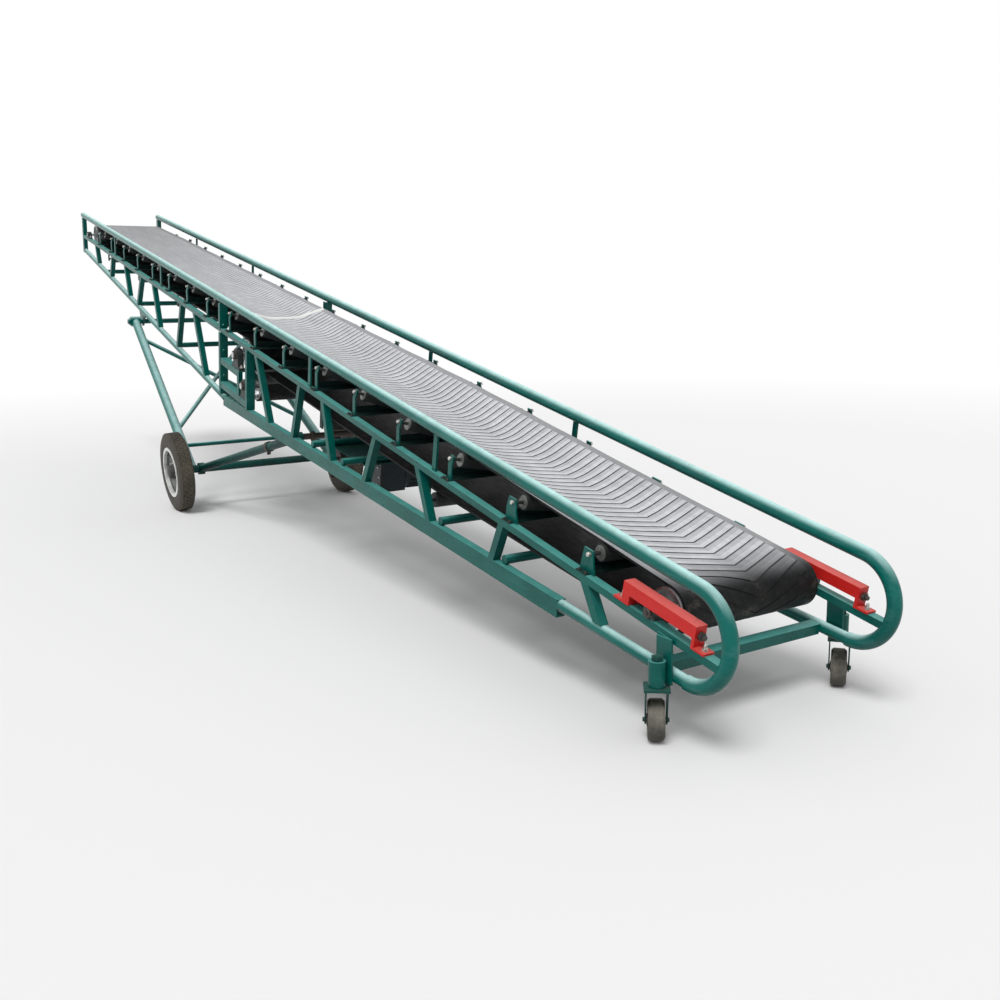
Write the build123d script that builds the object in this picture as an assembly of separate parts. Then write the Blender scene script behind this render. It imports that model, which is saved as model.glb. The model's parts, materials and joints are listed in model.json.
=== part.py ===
from build123d import *
import math
import os

os.makedirs("parts", exist_ok=True)

# Portable belt conveyor, millimetres. The machine is drawn level along its belt, as (s, y, n):
# s runs from the tail (feed end) to the head (discharge end), y to the left, n square to the belt.
# The last step tilts it to the angle at which it parks and sets it on the floor.

# Parking position; the tail's height above the floor comes from its casters
INCLINE = 11.46

# Running past, to trim or bore: how far a cutting shape reaches, and how far a cut overshoots
TRIM = 200.0
TRIM_ALONG = 300.0
OVER = 1.0

# Side trusses
HALF_GAUGE = 408.0
TOP_RAIL_N = 217.0
TOP_RAIL_R = 28.5
CHORD_R = 24.0
TAIL_BEND_S = -606.0
HEAD_S = 9621.0
CHORD_DROP = 182.0
CHORD_SLOPE = 0.0735
BELLY_S = 4483.0
BELLY_DROP = 512.0
HEAD_DROP = 162.0
MID_RAIL_N = -8.0
MID_RAIL_WIDTH = 40.0
MID_RAIL_HEIGHT = 30.0
CHORD_LAP = 30.0

# Slide channel for the trolley rollers, under the tail half of each truss
SLIDE_START_S = 130.0
SLIDE_DEPTH = 76.0
SLIDE_WIDTH = 42.0
SLIDE_WALL = 5.0

# Webs of steel angle in the lower bay, flat posts in the upper bay
ANGLE_LEG = 40.0
ANGLE_WALL = 5.0
WEB_LAP = 30.0
POST_WIDTH = 36.0
POST_THICK = 10.0
WEBS = [  # s at the middle rail, s at the lower chord
    (8962, 8841), (8143, 8265), (7619, 7455), (6941, 7138), (6544, 6344), (5609, 5763), (5266, 4966),
    (3794, 3510), (2965, 3084), (2614, 2457), (1870, 2003), (1408, 1228), (587, 658), (7, -143)]
UPPER_POSTS = [8055, 6288, 2842, 1242]
CROSS_TUBES = [570, 1150, 2330, 2780, 4570, 5863, 7238, 8553]
CROSS_TUBE_R = 21.0
TAIL_TIE_S = -480.0
TAIL_TIE_SIZE = 44.0
HEAD_POST_WIDTH = 60.0
HEAD_POST_DEPTH = 40.0
HEAD_BOLTS = (HEAD_S - 30.0, 90.0)
HEAD_BOLT_SPACING = 100.0
HEAD_BOLT_R = 7.0

# Drive station: channel posts, bearing shelves and two drums that the belt wraps in an S
DRIVE_POSTS = [4542, 3940]
DRIVE_POST_WIDTH = 60.0
DRIVE_POST_FLANGE = 36.0
DRIVE_POST_WALL = 6.0
DRIVE_DRUM_R = 105.0
UPPER_DRUM = (4191.0, -112.0)
LOWER_DRUM = (4015.0, -293.0)
DRIVE_SHAFT_R = 22.0
DRIVE_SHAFT_HALF = 452.0
DRIVE_SHAFT_STUB = 70.0
DRIVE_STUB_R = 19.0
BLOCK_HEIGHT = 98.0
BLOCK_LENGTH = 170.0
BLOCK_WIDTH = 44.0
BLOCK_FOOT = 18.0
BLOCK_BODY_R = 46.0
HEAD_BLOCK_LENGTH = 130.0
HEAD_BLOCK_WIDTH = 38.0
HEAD_BLOCK_FOOT = 12.0
HEAD_BLOCK_RISE = 4.0
BLOCK_WEB_SHARE = 0.36
BLOCK_NECK_SHARE = 0.94
SHELF_WALL = 8.0
SHELF_LEG = 45.0
SHELF_EDGE = 6.0
SHELF_END = 4.0
SHELF_POST_WIDTH = 40.0
SHELF_POST_DEPTH = 30.0
BEND_ROLLER = (3846.0, -206.0)
BEND_ROLLER_R = 38.0

# Belt and its other drums
BELT_HALF = 335.0
BELT_THICK = 10.0
TROUGH_FLAT = 115.0
BELT_SECTIONS = [  # s, wing angle, height of the belt's top at its middle
    (-395.0, 0.0, 117.0), (0.0, 3.0, 115.0), (550.0, 7.0, 106.0), (1100.0, 12.0, 98.0), (1650.0, 16.0, 96.0),
    (2200.0, 18.0, 96.0), (8250.0, 18.0, 96.0), (8800.0, 10.0, 115.0), (9335.0, 0.0, 147.0)]
SEAT = 0.3
DRUM_HALF = 345.0
TAIL_DRUM_R = 85.0
HEAD_DRUM_R = 95.0
DRUM_SHELL = 8.0
DRUM_RECESS = 30.0
DRUM_SHAFT_R = 16.0
TAIL_SHAFT_INSET = 26.0
HEAD_SHAFT_REACH = 26.0

# Carrying idlers
STATION_PITCH = 550.0
STATIONS = 17
ROLLER_R = 35.0
ROLLER_PIN_R = 8.0
CENTRE_ROLLER_HALF = 110.0
WING_START = 5.0
WING_LENGTH = 228.0
WING_PIN_REACH = 42.0
IDLER_BASE_WIDTH = 64.0
IDLER_BASE_HEIGHT = 40.0
IDLER_BASE_GAP = 5.0
IDLER_WALL = 4.0
UPRIGHT_THICK = 8.0
UPRIGHT_WIDTH = 32.0
UPRIGHT_Y = 398.0
UPRIGHT_TIP = 16.0
UPRIGHT_BEND = 30.0
UPRIGHT_LEAN = 1.0
TAPERED_STATIONS = 2
TAPERED_FOOT = (-40.0, 51.0)
TAPERED_TIP = (-12.0, 42.0)
IDLER_WEB_REACH = 385.0
HOLDER_Y = 117.0
HOLDER_THICK = 6.0
HOLDER_WIDTH = 24.0
HOLDER_RISE = 8.0

# Return rollers, on flat hangers under the middle rails
RETURN_TOP_N = -135.0
RETURN_FALL = 12.0
RETURN_ROLLERS = [1330, 2700, 5850, 7200, 8500]
RETURN_ROLLER_R = 38.0
RETURN_ROLLER_HALF = 347.0
RETURN_GAP = 0.9
HANGER_WIDTH = 40.0
HANGER_THICK = 8.0

# Take-up units at the tail
TAKEUP_Y = 408.0
TAKEUP_WIDTH = 50.0
TAKEUP_WALL = 5.0
TAKEUP_BOTTOM_N = 46.0
TAKEUP_TOP_N = 92.0
TAKEUP_ENDS = (-640.0, -251.0)
TAKEUP_PLATE = 14.0
TAKEUP_LEG = 40.0
TAKEUP_FOOT = 52.0
TAKEUP_HEAD_FOOT = 46.0
TAKEUP_FOOT_THICK = 8.0
SCREW_N = 56.0
SCREW_R = 9.0
SCREW_END = 24.0
SCREW_NUT = 14.0
SCREW_NUT_R = 16.0
TONGUE_WIDTH = 36.0
TONGUE_LENGTH = 60.0
TONGUE_GAP = 2.0
TAIL_BLOCK_INSET = 28.0
TAIL_BLOCK_WIDTH = 30.0
TAIL_BLOCK_HEIGHT = 70.0
SHAFT_END_GAP = 4.0

# Undercarriage that lifts the machine
PIVOT_S = 7005.0
PIVOT_N = -445.0
PIVOT_SHAFT_R = 22.0
PIVOT_EYE_R = 46.0
PIVOT_EYE_WIDTH = 84.0
COLLAR_GAP = 2.0
COLLAR_THICK = 12.0
COLLAR_RISE = 12.0
PIVOT_SHAFT_END = 14.0
PLATE_THICK = 12.0
PLATE_BASE = 260.0
PLATE_TIP_R = 42.0
LEG_R = 38.0
LEG_Y_TOP = 475.0
AXLE_S = 4789.0
AXLE_R = 30.0
AXLE_HALF = 618.0
LEG_INSET = 33.0
LEG_Y_AXLE = AXLE_HALF - LEG_INSET
CROSS_BAR_S = 5095.0
CROSS_BAR_R = 17.0
BRACE_R = 18.0
BRACE_TOP_S = 6700.0
BRACE_LOW_S = 5300.0
STRUT_R = 30.0
STRUT_TO_LEG = 70.0
STRUT_Y_AXLE = LEG_Y_AXLE - STRUT_TO_LEG
STRUT_Y_TROLLEY = 332.0
STRUT_EYE_R = 46.0
STRUT_EYE_WIDTH = 44.0
TROLLEY_S = 3200.0
TROLLEY_SHAFT_R = 20.0
TROLLEY_ROLLER_R = 22.0
TROLLEY_EYE_RISE = 14.0
TROLLEY_END_GAP = 5.0
TROLLEY_SIDE_GAP = 2.0
TROLLEY_COLLAR_Y = (225.0, 245.0)
RUNNING_GAP = 0.5

# Road wheels
TYRE_R = 305.0
TYRE_WIDTH = 118.0
STUB_AXLE = 82.0
WHEEL_Y = AXLE_HALF + STUB_AXLE
WHEEL_CAMBER = 3.0
RIM_R = 170.0
HUB_R = 52.0
HUB_LENGTH = 130.0
TREAD_HALF = 44.0
TYRE_BEAD = 14.0
TYRE_WALL_RISE = 60.0
SHOULDER_DROP = 14.0
SHOULDER_INSET = 7.0
RIM_SEAT = 12.0
RIM_LIP_RISE = 24.0
RIM_LIP_INNER = 8.0
RIM_LIP_OUTER = 2.0
DISC_HUB_OUT = 8.0
DISC_RIM_OUT = 18.0
DISC_THICK = 8.0
DISC_BEND_SHARE = 0.62
SPINDLE_R = 20.0
SPINDLE_LAP = 24.6
SPINDLE_INSET = 8.0

# Tail casters
CASTER_X = -492.0
CASTER_Y = 470.0
CASTER_WHEEL_R = 75.0
CASTER_WHEEL_WIDTH = 60.0
CASTER_TRAIL = 36.0
CASTER_YAW = (218.0, 230.0)
CASTER_TOP_Z = 204.0
CASTER_PLATE = 92.0
CASTER_PLATE_THICK = 8.0
CASTER_TO_CHORD = 14.085
CHEEK_GAP = 5.0
CHEEK_THICK = 5.0
CHEEK_TOP = (-34.0, 44.0)
CHEEK_R = 17.0
CASTER_AXLE_R = 8.0
CASTER_AXLE_END = 12.0
CASTER_HUB_R = 22.0
CASTER_HUB_END = 3.0
CASTER_RECESS = 6.0
CASTER_RECESS_R = (48.0, 54.0)
CASTER_TREAD_DROP = 8.0
CASTER_TREAD_INSET = 9.0
SLEEVE_GAP = 2.0
SLEEVE_R = 31.0
SLEEVE_HEIGHT = 92.0
SWIVEL_PIN_R = 14.0
SWIVEL_PIN_END = 18.0
SWIVEL_NUT_R = 22.0
SWIVEL_NUT = 12.0
SWIVEL_NUT_DROP = 14.0
MOUNT_THICK = 8.0
MOUNT_HALF = 39.0
MOUNT_RISE = 6.0
MOUNT_LAP = 8.0
PACKING_HALF = 30.0
PACKING_HEIGHT = 12.0

# Motor and hand winch, hung from a platform between the slide channels
PLATFORM = (2290.0, 2820.0)
PLATFORM_WIDTH = 560.0
PLATFORM_THICK = 8.0
MOTOR_S = 2500.0
MOTOR_Y = -50.0
MOTOR_R = 100.0
MOTOR_LENGTH = 280.0
MOTOR_GAP = 14.0
GEARBOX_SIZE = 190.0
GEARBOX_WIDTH = 170.0
MOTOR_FOOT = (140.0, 240.0)
GEARBOX_FOOT = (120.0, 150.0)
PLATFORM_LAP = 10.0
WINCH_S = 2740.0
WINCH_Y = 190.0
WINCH_DRUM_R = 30.0
WINCH_WIDTH = 90.0
WINCH_PLATE_R = 58.0
WINCH_GAP = 8.0
WINCH_SIDE_THICK = 6.0
WINCH_SIDE_TOP = 50.0
WINCH_SIDE_R = 34.0
WINCH_AXLE_R = 10.0
WINCH_AXLE_ENDS = (20.0, 60.0)
WINCH_GEAR_R = 50.0
WINCH_GEAR_THICK = 10.0
CRANK_R = 8.0
CRANK_REACH = (150.0, 60.0)
CRANK_OUT = 56.0
HANDLE_R = 11.0
HANDLE_ENDS = (46.0, 130.0)

COS_I = math.cos(math.radians(INCLINE))
SIN_I = math.sin(math.radians(INCLINE))
SLOPE = math.atan(CHORD_SLOPE)

# The tail stands on its casters: the lower chord's underside, plumb over the swivel, clears the fork's top plate
UNDERSIDE_DROP = CHORD_DROP + CHORD_R / math.cos(SLOPE)
REST_S = (CASTER_X - UNDERSIDE_DROP * SIN_I) / (COS_I + CHORD_SLOPE * SIN_I)
REST_N = -UNDERSIDE_DROP - CHORD_SLOPE * REST_S
ORIGIN_HEIGHT = CASTER_TOP_Z + CASTER_PLATE_THICK + CASTER_TO_CHORD - REST_S * SIN_I - REST_N * COS_I


def to_floor(s, n):
    """Floor X and height of a point of the machine, before the origin is centred."""
    return s * COS_I - n * SIN_I, s * SIN_I + n * COS_I + ORIGIN_HEIGHT


def to_machine(x, z):
    """The machine's s and n for a floor X and height."""
    dz = z - ORIGIN_HEIGHT
    return x * COS_I + dz * SIN_I, -x * SIN_I + dz * COS_I


CAMBER = math.radians(WHEEL_CAMBER)
AXLE_Z = TYRE_R * math.cos(CAMBER) + TREAD_HALF * math.sin(CAMBER) + STUB_AXLE * math.tan(CAMBER)
AXLE_N = (AXLE_Z - ORIGIN_HEIGHT - AXLE_S * SIN_I) / COS_I
AXLE_X = AXLE_S * COS_I - AXLE_N * SIN_I
RAIL_TOP = MID_RAIL_N + MID_RAIL_HEIGHT / 2
RAIL_BOTTOM = MID_RAIL_N - MID_RAIL_HEIGHT / 2
HEAD_SLOPE = math.atan((BELLY_DROP - HEAD_DROP) / (HEAD_S - BELLY_S))
HALF_TURN = math.degrees(math.pi)
TAIL_BEND_R = (TOP_RAIL_N + CHORD_DROP + CHORD_SLOPE * TAIL_BEND_S) / (1 + 1 / math.cos(SLOPE))
TAIL_BEND_N = TOP_RAIL_N - TAIL_BEND_R
TAIL_BEND_END = (TAIL_BEND_S - TAIL_BEND_R * math.sin(SLOPE), TAIL_BEND_N - TAIL_BEND_R * math.cos(SLOPE))
TAIL_DRUM = (BELT_SECTIONS[0][0], BELT_SECTIONS[0][2] - BELT_THICK - SEAT - TAIL_DRUM_R)
HEAD_DRUM = (BELT_SECTIONS[-1][0], BELT_SECTIONS[-1][2] - BELT_THICK - SEAT - HEAD_DRUM_R)
HANGER_Y = HALF_GAUGE - MID_RAIL_WIDTH / 2 - HANGER_THICK
CASTER_CROWN_Z = CASTER_TOP_Z + CASTER_PLATE_THICK


def chord_n(s):
    """Centre height of the lower chord."""
    if s <= BELLY_S:
        return -CHORD_DROP - CHORD_SLOPE * s
    return -BELLY_DROP + (BELLY_DROP - HEAD_DROP) * (s - BELLY_S) / (HEAD_S - BELLY_S)


def chord_top(s):
    """Height of the lower chord's upper side."""
    return chord_n(s) + CHORD_R / math.cos(SLOPE if s <= BELLY_S else HEAD_SLOPE)


def slide_n(s):
    """Centre height of the slide channel, whose top is level with the chord's top."""
    return chord_top(s) - SLIDE_DEPTH / 2 / math.cos(SLOPE)


def bar(section, start, end):
    """Extrude a section from start to end, with the section's x along the machine's y."""
    start, end = Vector(*start), Vector(*end)
    plane = Plane(origin=start, x_dir=(0, 1, 0), z_dir=(end - start).normalized())
    return extrude(plane * section, amount=(end - start).length)


def rod(radius, start, end):
    """Round bar between any two points."""
    start, end = Vector(*start), Vector(*end)
    return extrude(Plane(origin=start, z_dir=(end - start).normalized()) * Circle(radius), amount=(end - start).length)


def cross_rod(radius, s, n, y_low, y_high):
    """Round bar across the machine."""
    return rod(radius, (s, y_low, n), (s, y_high, n))


def box(s, y, n):
    """Box from three (low, high) pairs."""
    return Pos(sum(s) / 2, sum(y) / 2, sum(n) / 2) * Box(s[1] - s[0], y[1] - y[0], n[1] - n[0])


def side_plate(outline, y_low, y_high):
    """Plate with an outline in s and n, between two values of y."""
    wire = Polyline([(s, y_low, n) for s, n in outline], close=True)
    return extrude(make_face(wire.edges()), amount=y_high - y_low, dir=(0, 1, 0))


def cross_plate(outline, s_low, s_high):
    """Plate with an outline in y and n, between two values of s."""
    wire = Polyline([(s_low, y, n) for y, n in outline], close=True)
    return extrude(make_face(wire.edges()), amount=s_high - s_low, dir=(1, 0, 0))


def joined(pieces):
    """One solid from pieces that overlap or share faces."""
    whole = pieces[0]
    for piece in pieces[1:]:
        whole += piece
    return whole


def apart(pieces):
    """Several solids in one sub-part."""
    solids = []
    for piece in pieces:
        solids.extend(piece.solids())
    return Compound(children=solids)


def both(make):
    """The left and the right copy of a piece, as one sub-part."""
    return apart([make(1), make(-1)])


def hexagon(radius):
    """Outline of a nut, given by the radius over its corners."""
    return RegularPolygon(radius, 6)


def under_chord(s, y):
    """Solid that fills everything under the lower chord's top near s, to trim what stands on it."""
    low, high = s - TRIM_ALONG, s + TRIM_ALONG
    if low < BELLY_S < high:
        low, high = (BELLY_S, high) if s > BELLY_S else (low, BELLY_S)
    depth = TRIM / math.cos(SLOPE if high <= BELLY_S else HEAD_SLOPE)
    return bar(Rectangle(TRIM, 2 * TRIM), (low, y, chord_top(low) - depth), (high, y, chord_top(high) - depth))


# Side trusses
def top_rail(side):
    """Straight top tube from the head to the tail bend."""
    y = side * HALF_GAUGE
    return rod(TOP_RAIL_R, (TAIL_BEND_S, y, TOP_RAIL_N), (HEAD_S, y, TOP_RAIL_N))


def tail_bend(side):
    """The round bend at the tail, from the top tube down to the lower chord."""
    y = side * HALF_GAUGE
    end_s, end_n = TAIL_BEND_END
    bend = ThreePointArc((TAIL_BEND_S, y, TOP_RAIL_N), (TAIL_BEND_S - TAIL_BEND_R, y, TAIL_BEND_N), (end_s, y, end_n))
    profile = Plane(origin=(TAIL_BEND_S, y, TOP_RAIL_N), z_dir=(-1, 0, 0)) * Circle(TOP_RAIL_R)
    return sweep(profile, path=Wire([bend.edge()]))


def middle_rail(side):
    """Box rail that carries the idlers, from the tail bend to the head post."""
    y = side * HALF_GAUGE
    drop = TAIL_BEND_N - MID_RAIL_N
    reach = math.sqrt((TAIL_BEND_R - TOP_RAIL_R) ** 2 - drop ** 2)
    rail = bar(Rectangle(MID_RAIL_WIDTH, MID_RAIL_HEIGHT), (TAIL_BEND_S - reach - TOP_RAIL_R, y, MID_RAIL_N),
               (HEAD_S - HEAD_POST_WIDTH, y, MID_RAIL_N))
    return (rail - tail_bend(side)).solid()


def lower_chord(side):
    """Round chord: a tail run up to the slide channel, and the taper from the belly to the head."""
    y = side * HALF_GAUGE
    end_s, end_n = TAIL_BEND_END
    tail = rod(CHORD_R, (end_s, y, end_n), (SLIDE_START_S, y, chord_n(SLIDE_START_S)))
    head_end = HEAD_S - HEAD_POST_WIDTH
    head = rod(CHORD_R, (BELLY_S - CHORD_LAP, y, -BELLY_DROP - CHORD_LAP * math.tan(HEAD_SLOPE)), (HEAD_S, y, chord_n(HEAD_S)))
    head &= box((BELLY_S, head_end), (y - TRIM, y + TRIM), (-BELLY_DROP - TRIM, 0))
    return apart([tail, head])


def slide_channel(side):
    """Channel open towards the middle of the machine, in which the trolley rollers run."""
    y = side * (HALF_GAUGE + SLIDE_WIDTH / 2)
    half_depth = SLIDE_DEPTH / 2
    outline = [(0, -half_depth), (-side * SLIDE_WIDTH, -half_depth), (-side * SLIDE_WIDTH, SLIDE_WALL - half_depth),
               (-side * SLIDE_WALL, SLIDE_WALL - half_depth), (-side * SLIDE_WALL, half_depth - SLIDE_WALL),
               (-side * SLIDE_WIDTH, half_depth - SLIDE_WALL), (-side * SLIDE_WIDTH, half_depth), (0, half_depth)]
    section = make_face(Polyline(outline, close=True).edges())
    end_n = slide_n(BELLY_S) - CHORD_LAP * CHORD_SLOPE
    channel = bar(section, (SLIDE_START_S, y, slide_n(SLIDE_START_S)), (BELLY_S + CHORD_LAP, y, end_n))
    return channel - box((BELLY_S, BELLY_S + TRIM), (y - TRIM, y + TRIM), (-BELLY_DROP - TRIM, -BELLY_DROP + TRIM))


def web_angles(side):
    """Steel angles between the middle rail and the lower chord."""
    y = side * HALF_GAUGE
    angles = []
    for top_s, low_s in WEBS:
        wall = Pos(side * (ANGLE_LEG - ANGLE_WALL) / 2, 0) * Rectangle(ANGLE_WALL, ANGLE_LEG)
        leg = Pos(0, (ANGLE_LEG - ANGLE_WALL) / 2) * Rectangle(ANGLE_LEG, ANGLE_WALL)
        angle = bar((wall + leg).face(), (low_s, y, chord_n(low_s)), (top_s, y, RAIL_BOTTOM + WEB_LAP))
        angle -= box((top_s - TRIM, top_s + TRIM), (y - TRIM, y + TRIM), (RAIL_BOTTOM, RAIL_BOTTOM + TRIM))
        angles.append((angle - under_chord(low_s, y)).solid())
    return apart(angles)


def upper_posts(side):
    """Flat posts that hold the top rail."""
    y = side * HALF_GAUGE
    posts = []
    for s in UPPER_POSTS:
        posts.append(box((s - POST_WIDTH / 2, s + POST_WIDTH / 2), (y - POST_THICK / 2, y + POST_THICK / 2),
                         (RAIL_TOP, TOP_RAIL_N - TOP_RAIL_R)))
    return apart(posts)


def channel_post(s, y, low, high):
    """Upright channel with its web towards the tail."""
    half = DRIVE_POST_WIDTH / 2
    tail_face, head_face = s - DRIVE_POST_FLANGE / 2, s + DRIVE_POST_FLANGE / 2
    outer = box((tail_face, head_face), (y - half, y + half), (low, high))
    hollow = box((tail_face + DRIVE_POST_WALL, head_face + OVER), (y - half + DRIVE_POST_WALL, y + half - DRIVE_POST_WALL),
                 (low - OVER, high + OVER))
    return outer - hollow


def drive_posts(side):
    """Channel posts either side of the two drive drums; the head one runs up to the top rail."""
    y = side * HALF_GAUGE
    posts = [channel_post(DRIVE_POSTS[0], y, RAIL_TOP, TOP_RAIL_N - TOP_RAIL_R)]
    for s in DRIVE_POSTS:
        post = channel_post(s, y, chord_n(s), RAIL_BOTTOM)
        posts.append((post - under_chord(s, y)).solid())
    return apart(posts)


def cross_tubes():
    """Tubes that tie the two lower chords, and the square tie at the tail."""
    tubes = []
    for s in CROSS_TUBES:
        if s < BELLY_S:
            n = chord_top(s) + CROSS_TUBE_R / math.cos(SLOPE)
            tubes.append(cross_rod(CROSS_TUBE_R, s, n, -HALF_GAUGE, HALF_GAUGE))
        else:
            tubes.append(cross_rod(CROSS_TUBE_R, s, chord_n(s), -HALF_GAUGE + CHORD_R, HALF_GAUGE - CHORD_R))
    reach = HALF_GAUGE - CHORD_R
    n, half = chord_n(TAIL_TIE_S), TAIL_TIE_SIZE / 2
    tubes.append(box((TAIL_TIE_S - half, TAIL_TIE_S + half), (-reach, reach), (n - half, n + half)))
    return apart(tubes)


def head_post(side):
    """Box post that closes a truss at the head, with two holes, one plumb above the other, for a chute."""
    y = side * HALF_GAUGE
    low, high = y - HEAD_POST_DEPTH / 2, y + HEAD_POST_DEPTH / 2
    post = box((HEAD_S - HEAD_POST_WIDTH, HEAD_S), (low, high), (chord_n(HEAD_S) - CHORD_R, TOP_RAIL_N - TOP_RAIL_R))
    for way in (-1, 1):
        s = HEAD_BOLTS[0] + way * HEAD_BOLT_SPACING / 2 * SIN_I
        n = HEAD_BOLTS[1] + way * HEAD_BOLT_SPACING / 2 * COS_I
        post -= cross_rod(HEAD_BOLT_R, s, n, low - OVER, high + OVER)
    return post


# Belt
def trough_section(s, angle, top_n):
    """Closed outline of the belt across the machine: flat middle, wings at an angle."""
    a = math.radians(angle)
    wing = BELT_HALF - TROUGH_FLAT
    shift = BELT_THICK * math.tan(a / 2)
    edge = (TROUGH_FLAT + wing * math.cos(a), wing * math.sin(a))
    right = [(TROUGH_FLAT, 0), edge, (edge[0] + BELT_THICK * math.sin(a), edge[1] - BELT_THICK * math.cos(a)),
             (TROUGH_FLAT + shift, -BELT_THICK)]
    points = right + [(-y, n) for y, n in reversed(right)]
    wire = Polyline([(s, y, top_n + n) for y, n in points], close=True)
    return make_face(wire.edges())


def belt_carry():
    """Carrying strand: flat at the drums, troughed between the first and last idlers."""
    spans = []
    for first, second in zip(BELT_SECTIONS, BELT_SECTIONS[1:]):
        spans.append(loft([trough_section(*first), trough_section(*second)], ruled=True))
    return joined(spans)


def on_circle(centre, radius, degrees):
    """Point (s, n) on a circle of the side view."""
    angle = math.radians(degrees)
    return centre[0] + radius * math.cos(angle), centre[1] + radius * math.sin(angle)


def drum_wrap(centre, radius, start, end):
    """Belt round a drum, between two angles of the side view."""
    inner, outer, middle = radius + SEAT, radius + SEAT + BELT_THICK, (start + end) / 2

    def at(r, degrees):
        s, n = on_circle(centre, r, degrees)
        return s, -BELT_HALF, n
    outline = [ThreePointArc(at(outer, start), at(outer, middle), at(outer, end)), Line(at(outer, end), at(inner, end)),
               ThreePointArc(at(inner, end), at(inner, middle), at(inner, start)), Line(at(inner, start), at(outer, start))]
    return extrude(make_face([piece.edge() for piece in outline]), amount=2 * BELT_HALF, dir=(0, 1, 0))


def strand(start, end):
    """Flat run of belt between two points of its middle plane."""
    return bar(Rectangle(2 * BELT_HALF, BELT_THICK), (start[0], 0, start[1]), (end[0], 0, end[1]))


def outer_tangent(first, second, r_first, r_second, side):
    """Angle at which a line touches both circles on the same side: +1 left, -1 right of the way from first."""
    ds, dn = second[0] - first[0], second[1] - first[1]
    return math.degrees(math.atan2(dn, ds)) + side * math.degrees(math.acos((r_first - r_second) / math.hypot(ds, dn)))


def inner_tangent(first, second, r_first, r_second, side):
    """Angle on the first circle at which a line crosses over to the other side of the second."""
    ds, dn = second[0] - first[0], second[1] - first[1]
    return math.degrees(math.atan2(dn, ds)) + side * math.degrees(math.acos((r_first + r_second) / math.hypot(ds, dn)))


def middle_radius(drum_r):
    """Radius of the belt's middle plane round a drum."""
    return drum_r + SEAT + BELT_THICK / 2


# Where the runs of the belt's return side meet, and the angles at which it meets each drum
RETURN_TURN = (RETURN_ROLLERS[0], RETURN_TOP_N - BELT_THICK / 2)
TAIL_LEAVE = outer_tangent(TAIL_DRUM, RETURN_TURN, middle_radius(TAIL_DRUM_R), 0, -1)
ROLLER_TURN = (RETURN_ROLLERS[1], RETURN_TOP_N - BELT_THICK / 2 - RETURN_FALL)
BEND_LEAVE = outer_tangent(BEND_ROLLER, ROLLER_TURN, middle_radius(BEND_ROLLER_R), 0, -1)


def head_strand_angle():
    """Angle of the head drum at which the return strand leaves it, towards the upper drive drum's top."""
    ds, dn = UPPER_DRUM[0] - HEAD_DRUM[0], UPPER_DRUM[1] - HEAD_DRUM[1]
    total = middle_radius(HEAD_DRUM_R) + middle_radius(DRIVE_DRUM_R)
    return math.degrees(math.atan2(dn, ds)) + math.degrees(math.acos(total / math.hypot(ds, dn)))


HEAD_LEAVE = head_strand_angle()
UPPER_ENTER = HEAD_LEAVE + HALF_TURN
S_LEAVE = inner_tangent(UPPER_DRUM, LOWER_DRUM, middle_radius(DRIVE_DRUM_R), middle_radius(DRIVE_DRUM_R), -1) + 2 * HALF_TURN
LOWER_ENTER = S_LEAVE - HALF_TURN
BEND_ENTER = inner_tangent(BEND_ROLLER, LOWER_DRUM, middle_radius(BEND_ROLLER_R), middle_radius(DRIVE_DRUM_R), 1)
LOWER_LEAVE = BEND_ENTER + HALF_TURN


def belt_end_wraps():
    """Belt round the tail drum and round the head drum."""
    tail = drum_wrap(TAIL_DRUM, TAIL_DRUM_R, HALF_TURN / 2, TAIL_LEAVE + 2 * HALF_TURN)
    return apart([tail, drum_wrap(HEAD_DRUM, HEAD_DRUM_R, HALF_TURN / 2, HEAD_LEAVE)])


def belt_head_return():
    """Return strand from the head drum to the top of the upper drive drum."""
    start = on_circle(HEAD_DRUM, middle_radius(HEAD_DRUM_R), HEAD_LEAVE)
    end = on_circle(UPPER_DRUM, middle_radius(DRIVE_DRUM_R), UPPER_ENTER)
    return strand(end, start)


def belt_drive_wrap():
    """Belt over the upper drive drum, across, under the lower one and over the bend roller."""
    reach = middle_radius(DRIVE_DRUM_R)
    bend = middle_radius(BEND_ROLLER_R)
    upper = drum_wrap(UPPER_DRUM, DRIVE_DRUM_R, UPPER_ENTER, S_LEAVE)
    across = strand(on_circle(UPPER_DRUM, reach, S_LEAVE), on_circle(LOWER_DRUM, reach, LOWER_ENTER))
    lower = drum_wrap(LOWER_DRUM, DRIVE_DRUM_R, LOWER_ENTER, LOWER_LEAVE - 2 * HALF_TURN)
    rise = strand(on_circle(LOWER_DRUM, reach, LOWER_LEAVE), on_circle(BEND_ROLLER, bend, BEND_ENTER))
    over = drum_wrap(BEND_ROLLER, BEND_ROLLER_R, BEND_ENTER, BEND_LEAVE)
    return joined([upper, across, lower, rise, over])


def belt_tail_return():
    """Return strand from the bend roller to the tail drum, resting on two rollers."""
    points = [on_circle(TAIL_DRUM, middle_radius(TAIL_DRUM_R), TAIL_LEAVE), RETURN_TURN, ROLLER_TURN,
              on_circle(BEND_ROLLER, middle_radius(BEND_ROLLER_R), BEND_LEAVE)]
    return joined([strand(a, b) for a, b in zip(points, points[1:])])


# Idlers
def belt_at(s):
    """Wing angle and height of the belt's top at a place along the carrying strand."""
    for (s_low, a_low, n_low), (s_high, a_high, n_high) in zip(BELT_SECTIONS, BELT_SECTIONS[1:]):
        if s_low <= s <= s_high:
            share = (s - s_low) / (s_high - s_low)
            return a_low + share * (a_high - a_low), n_low + share * (n_high - n_low)
    raise ValueError(s)


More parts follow.
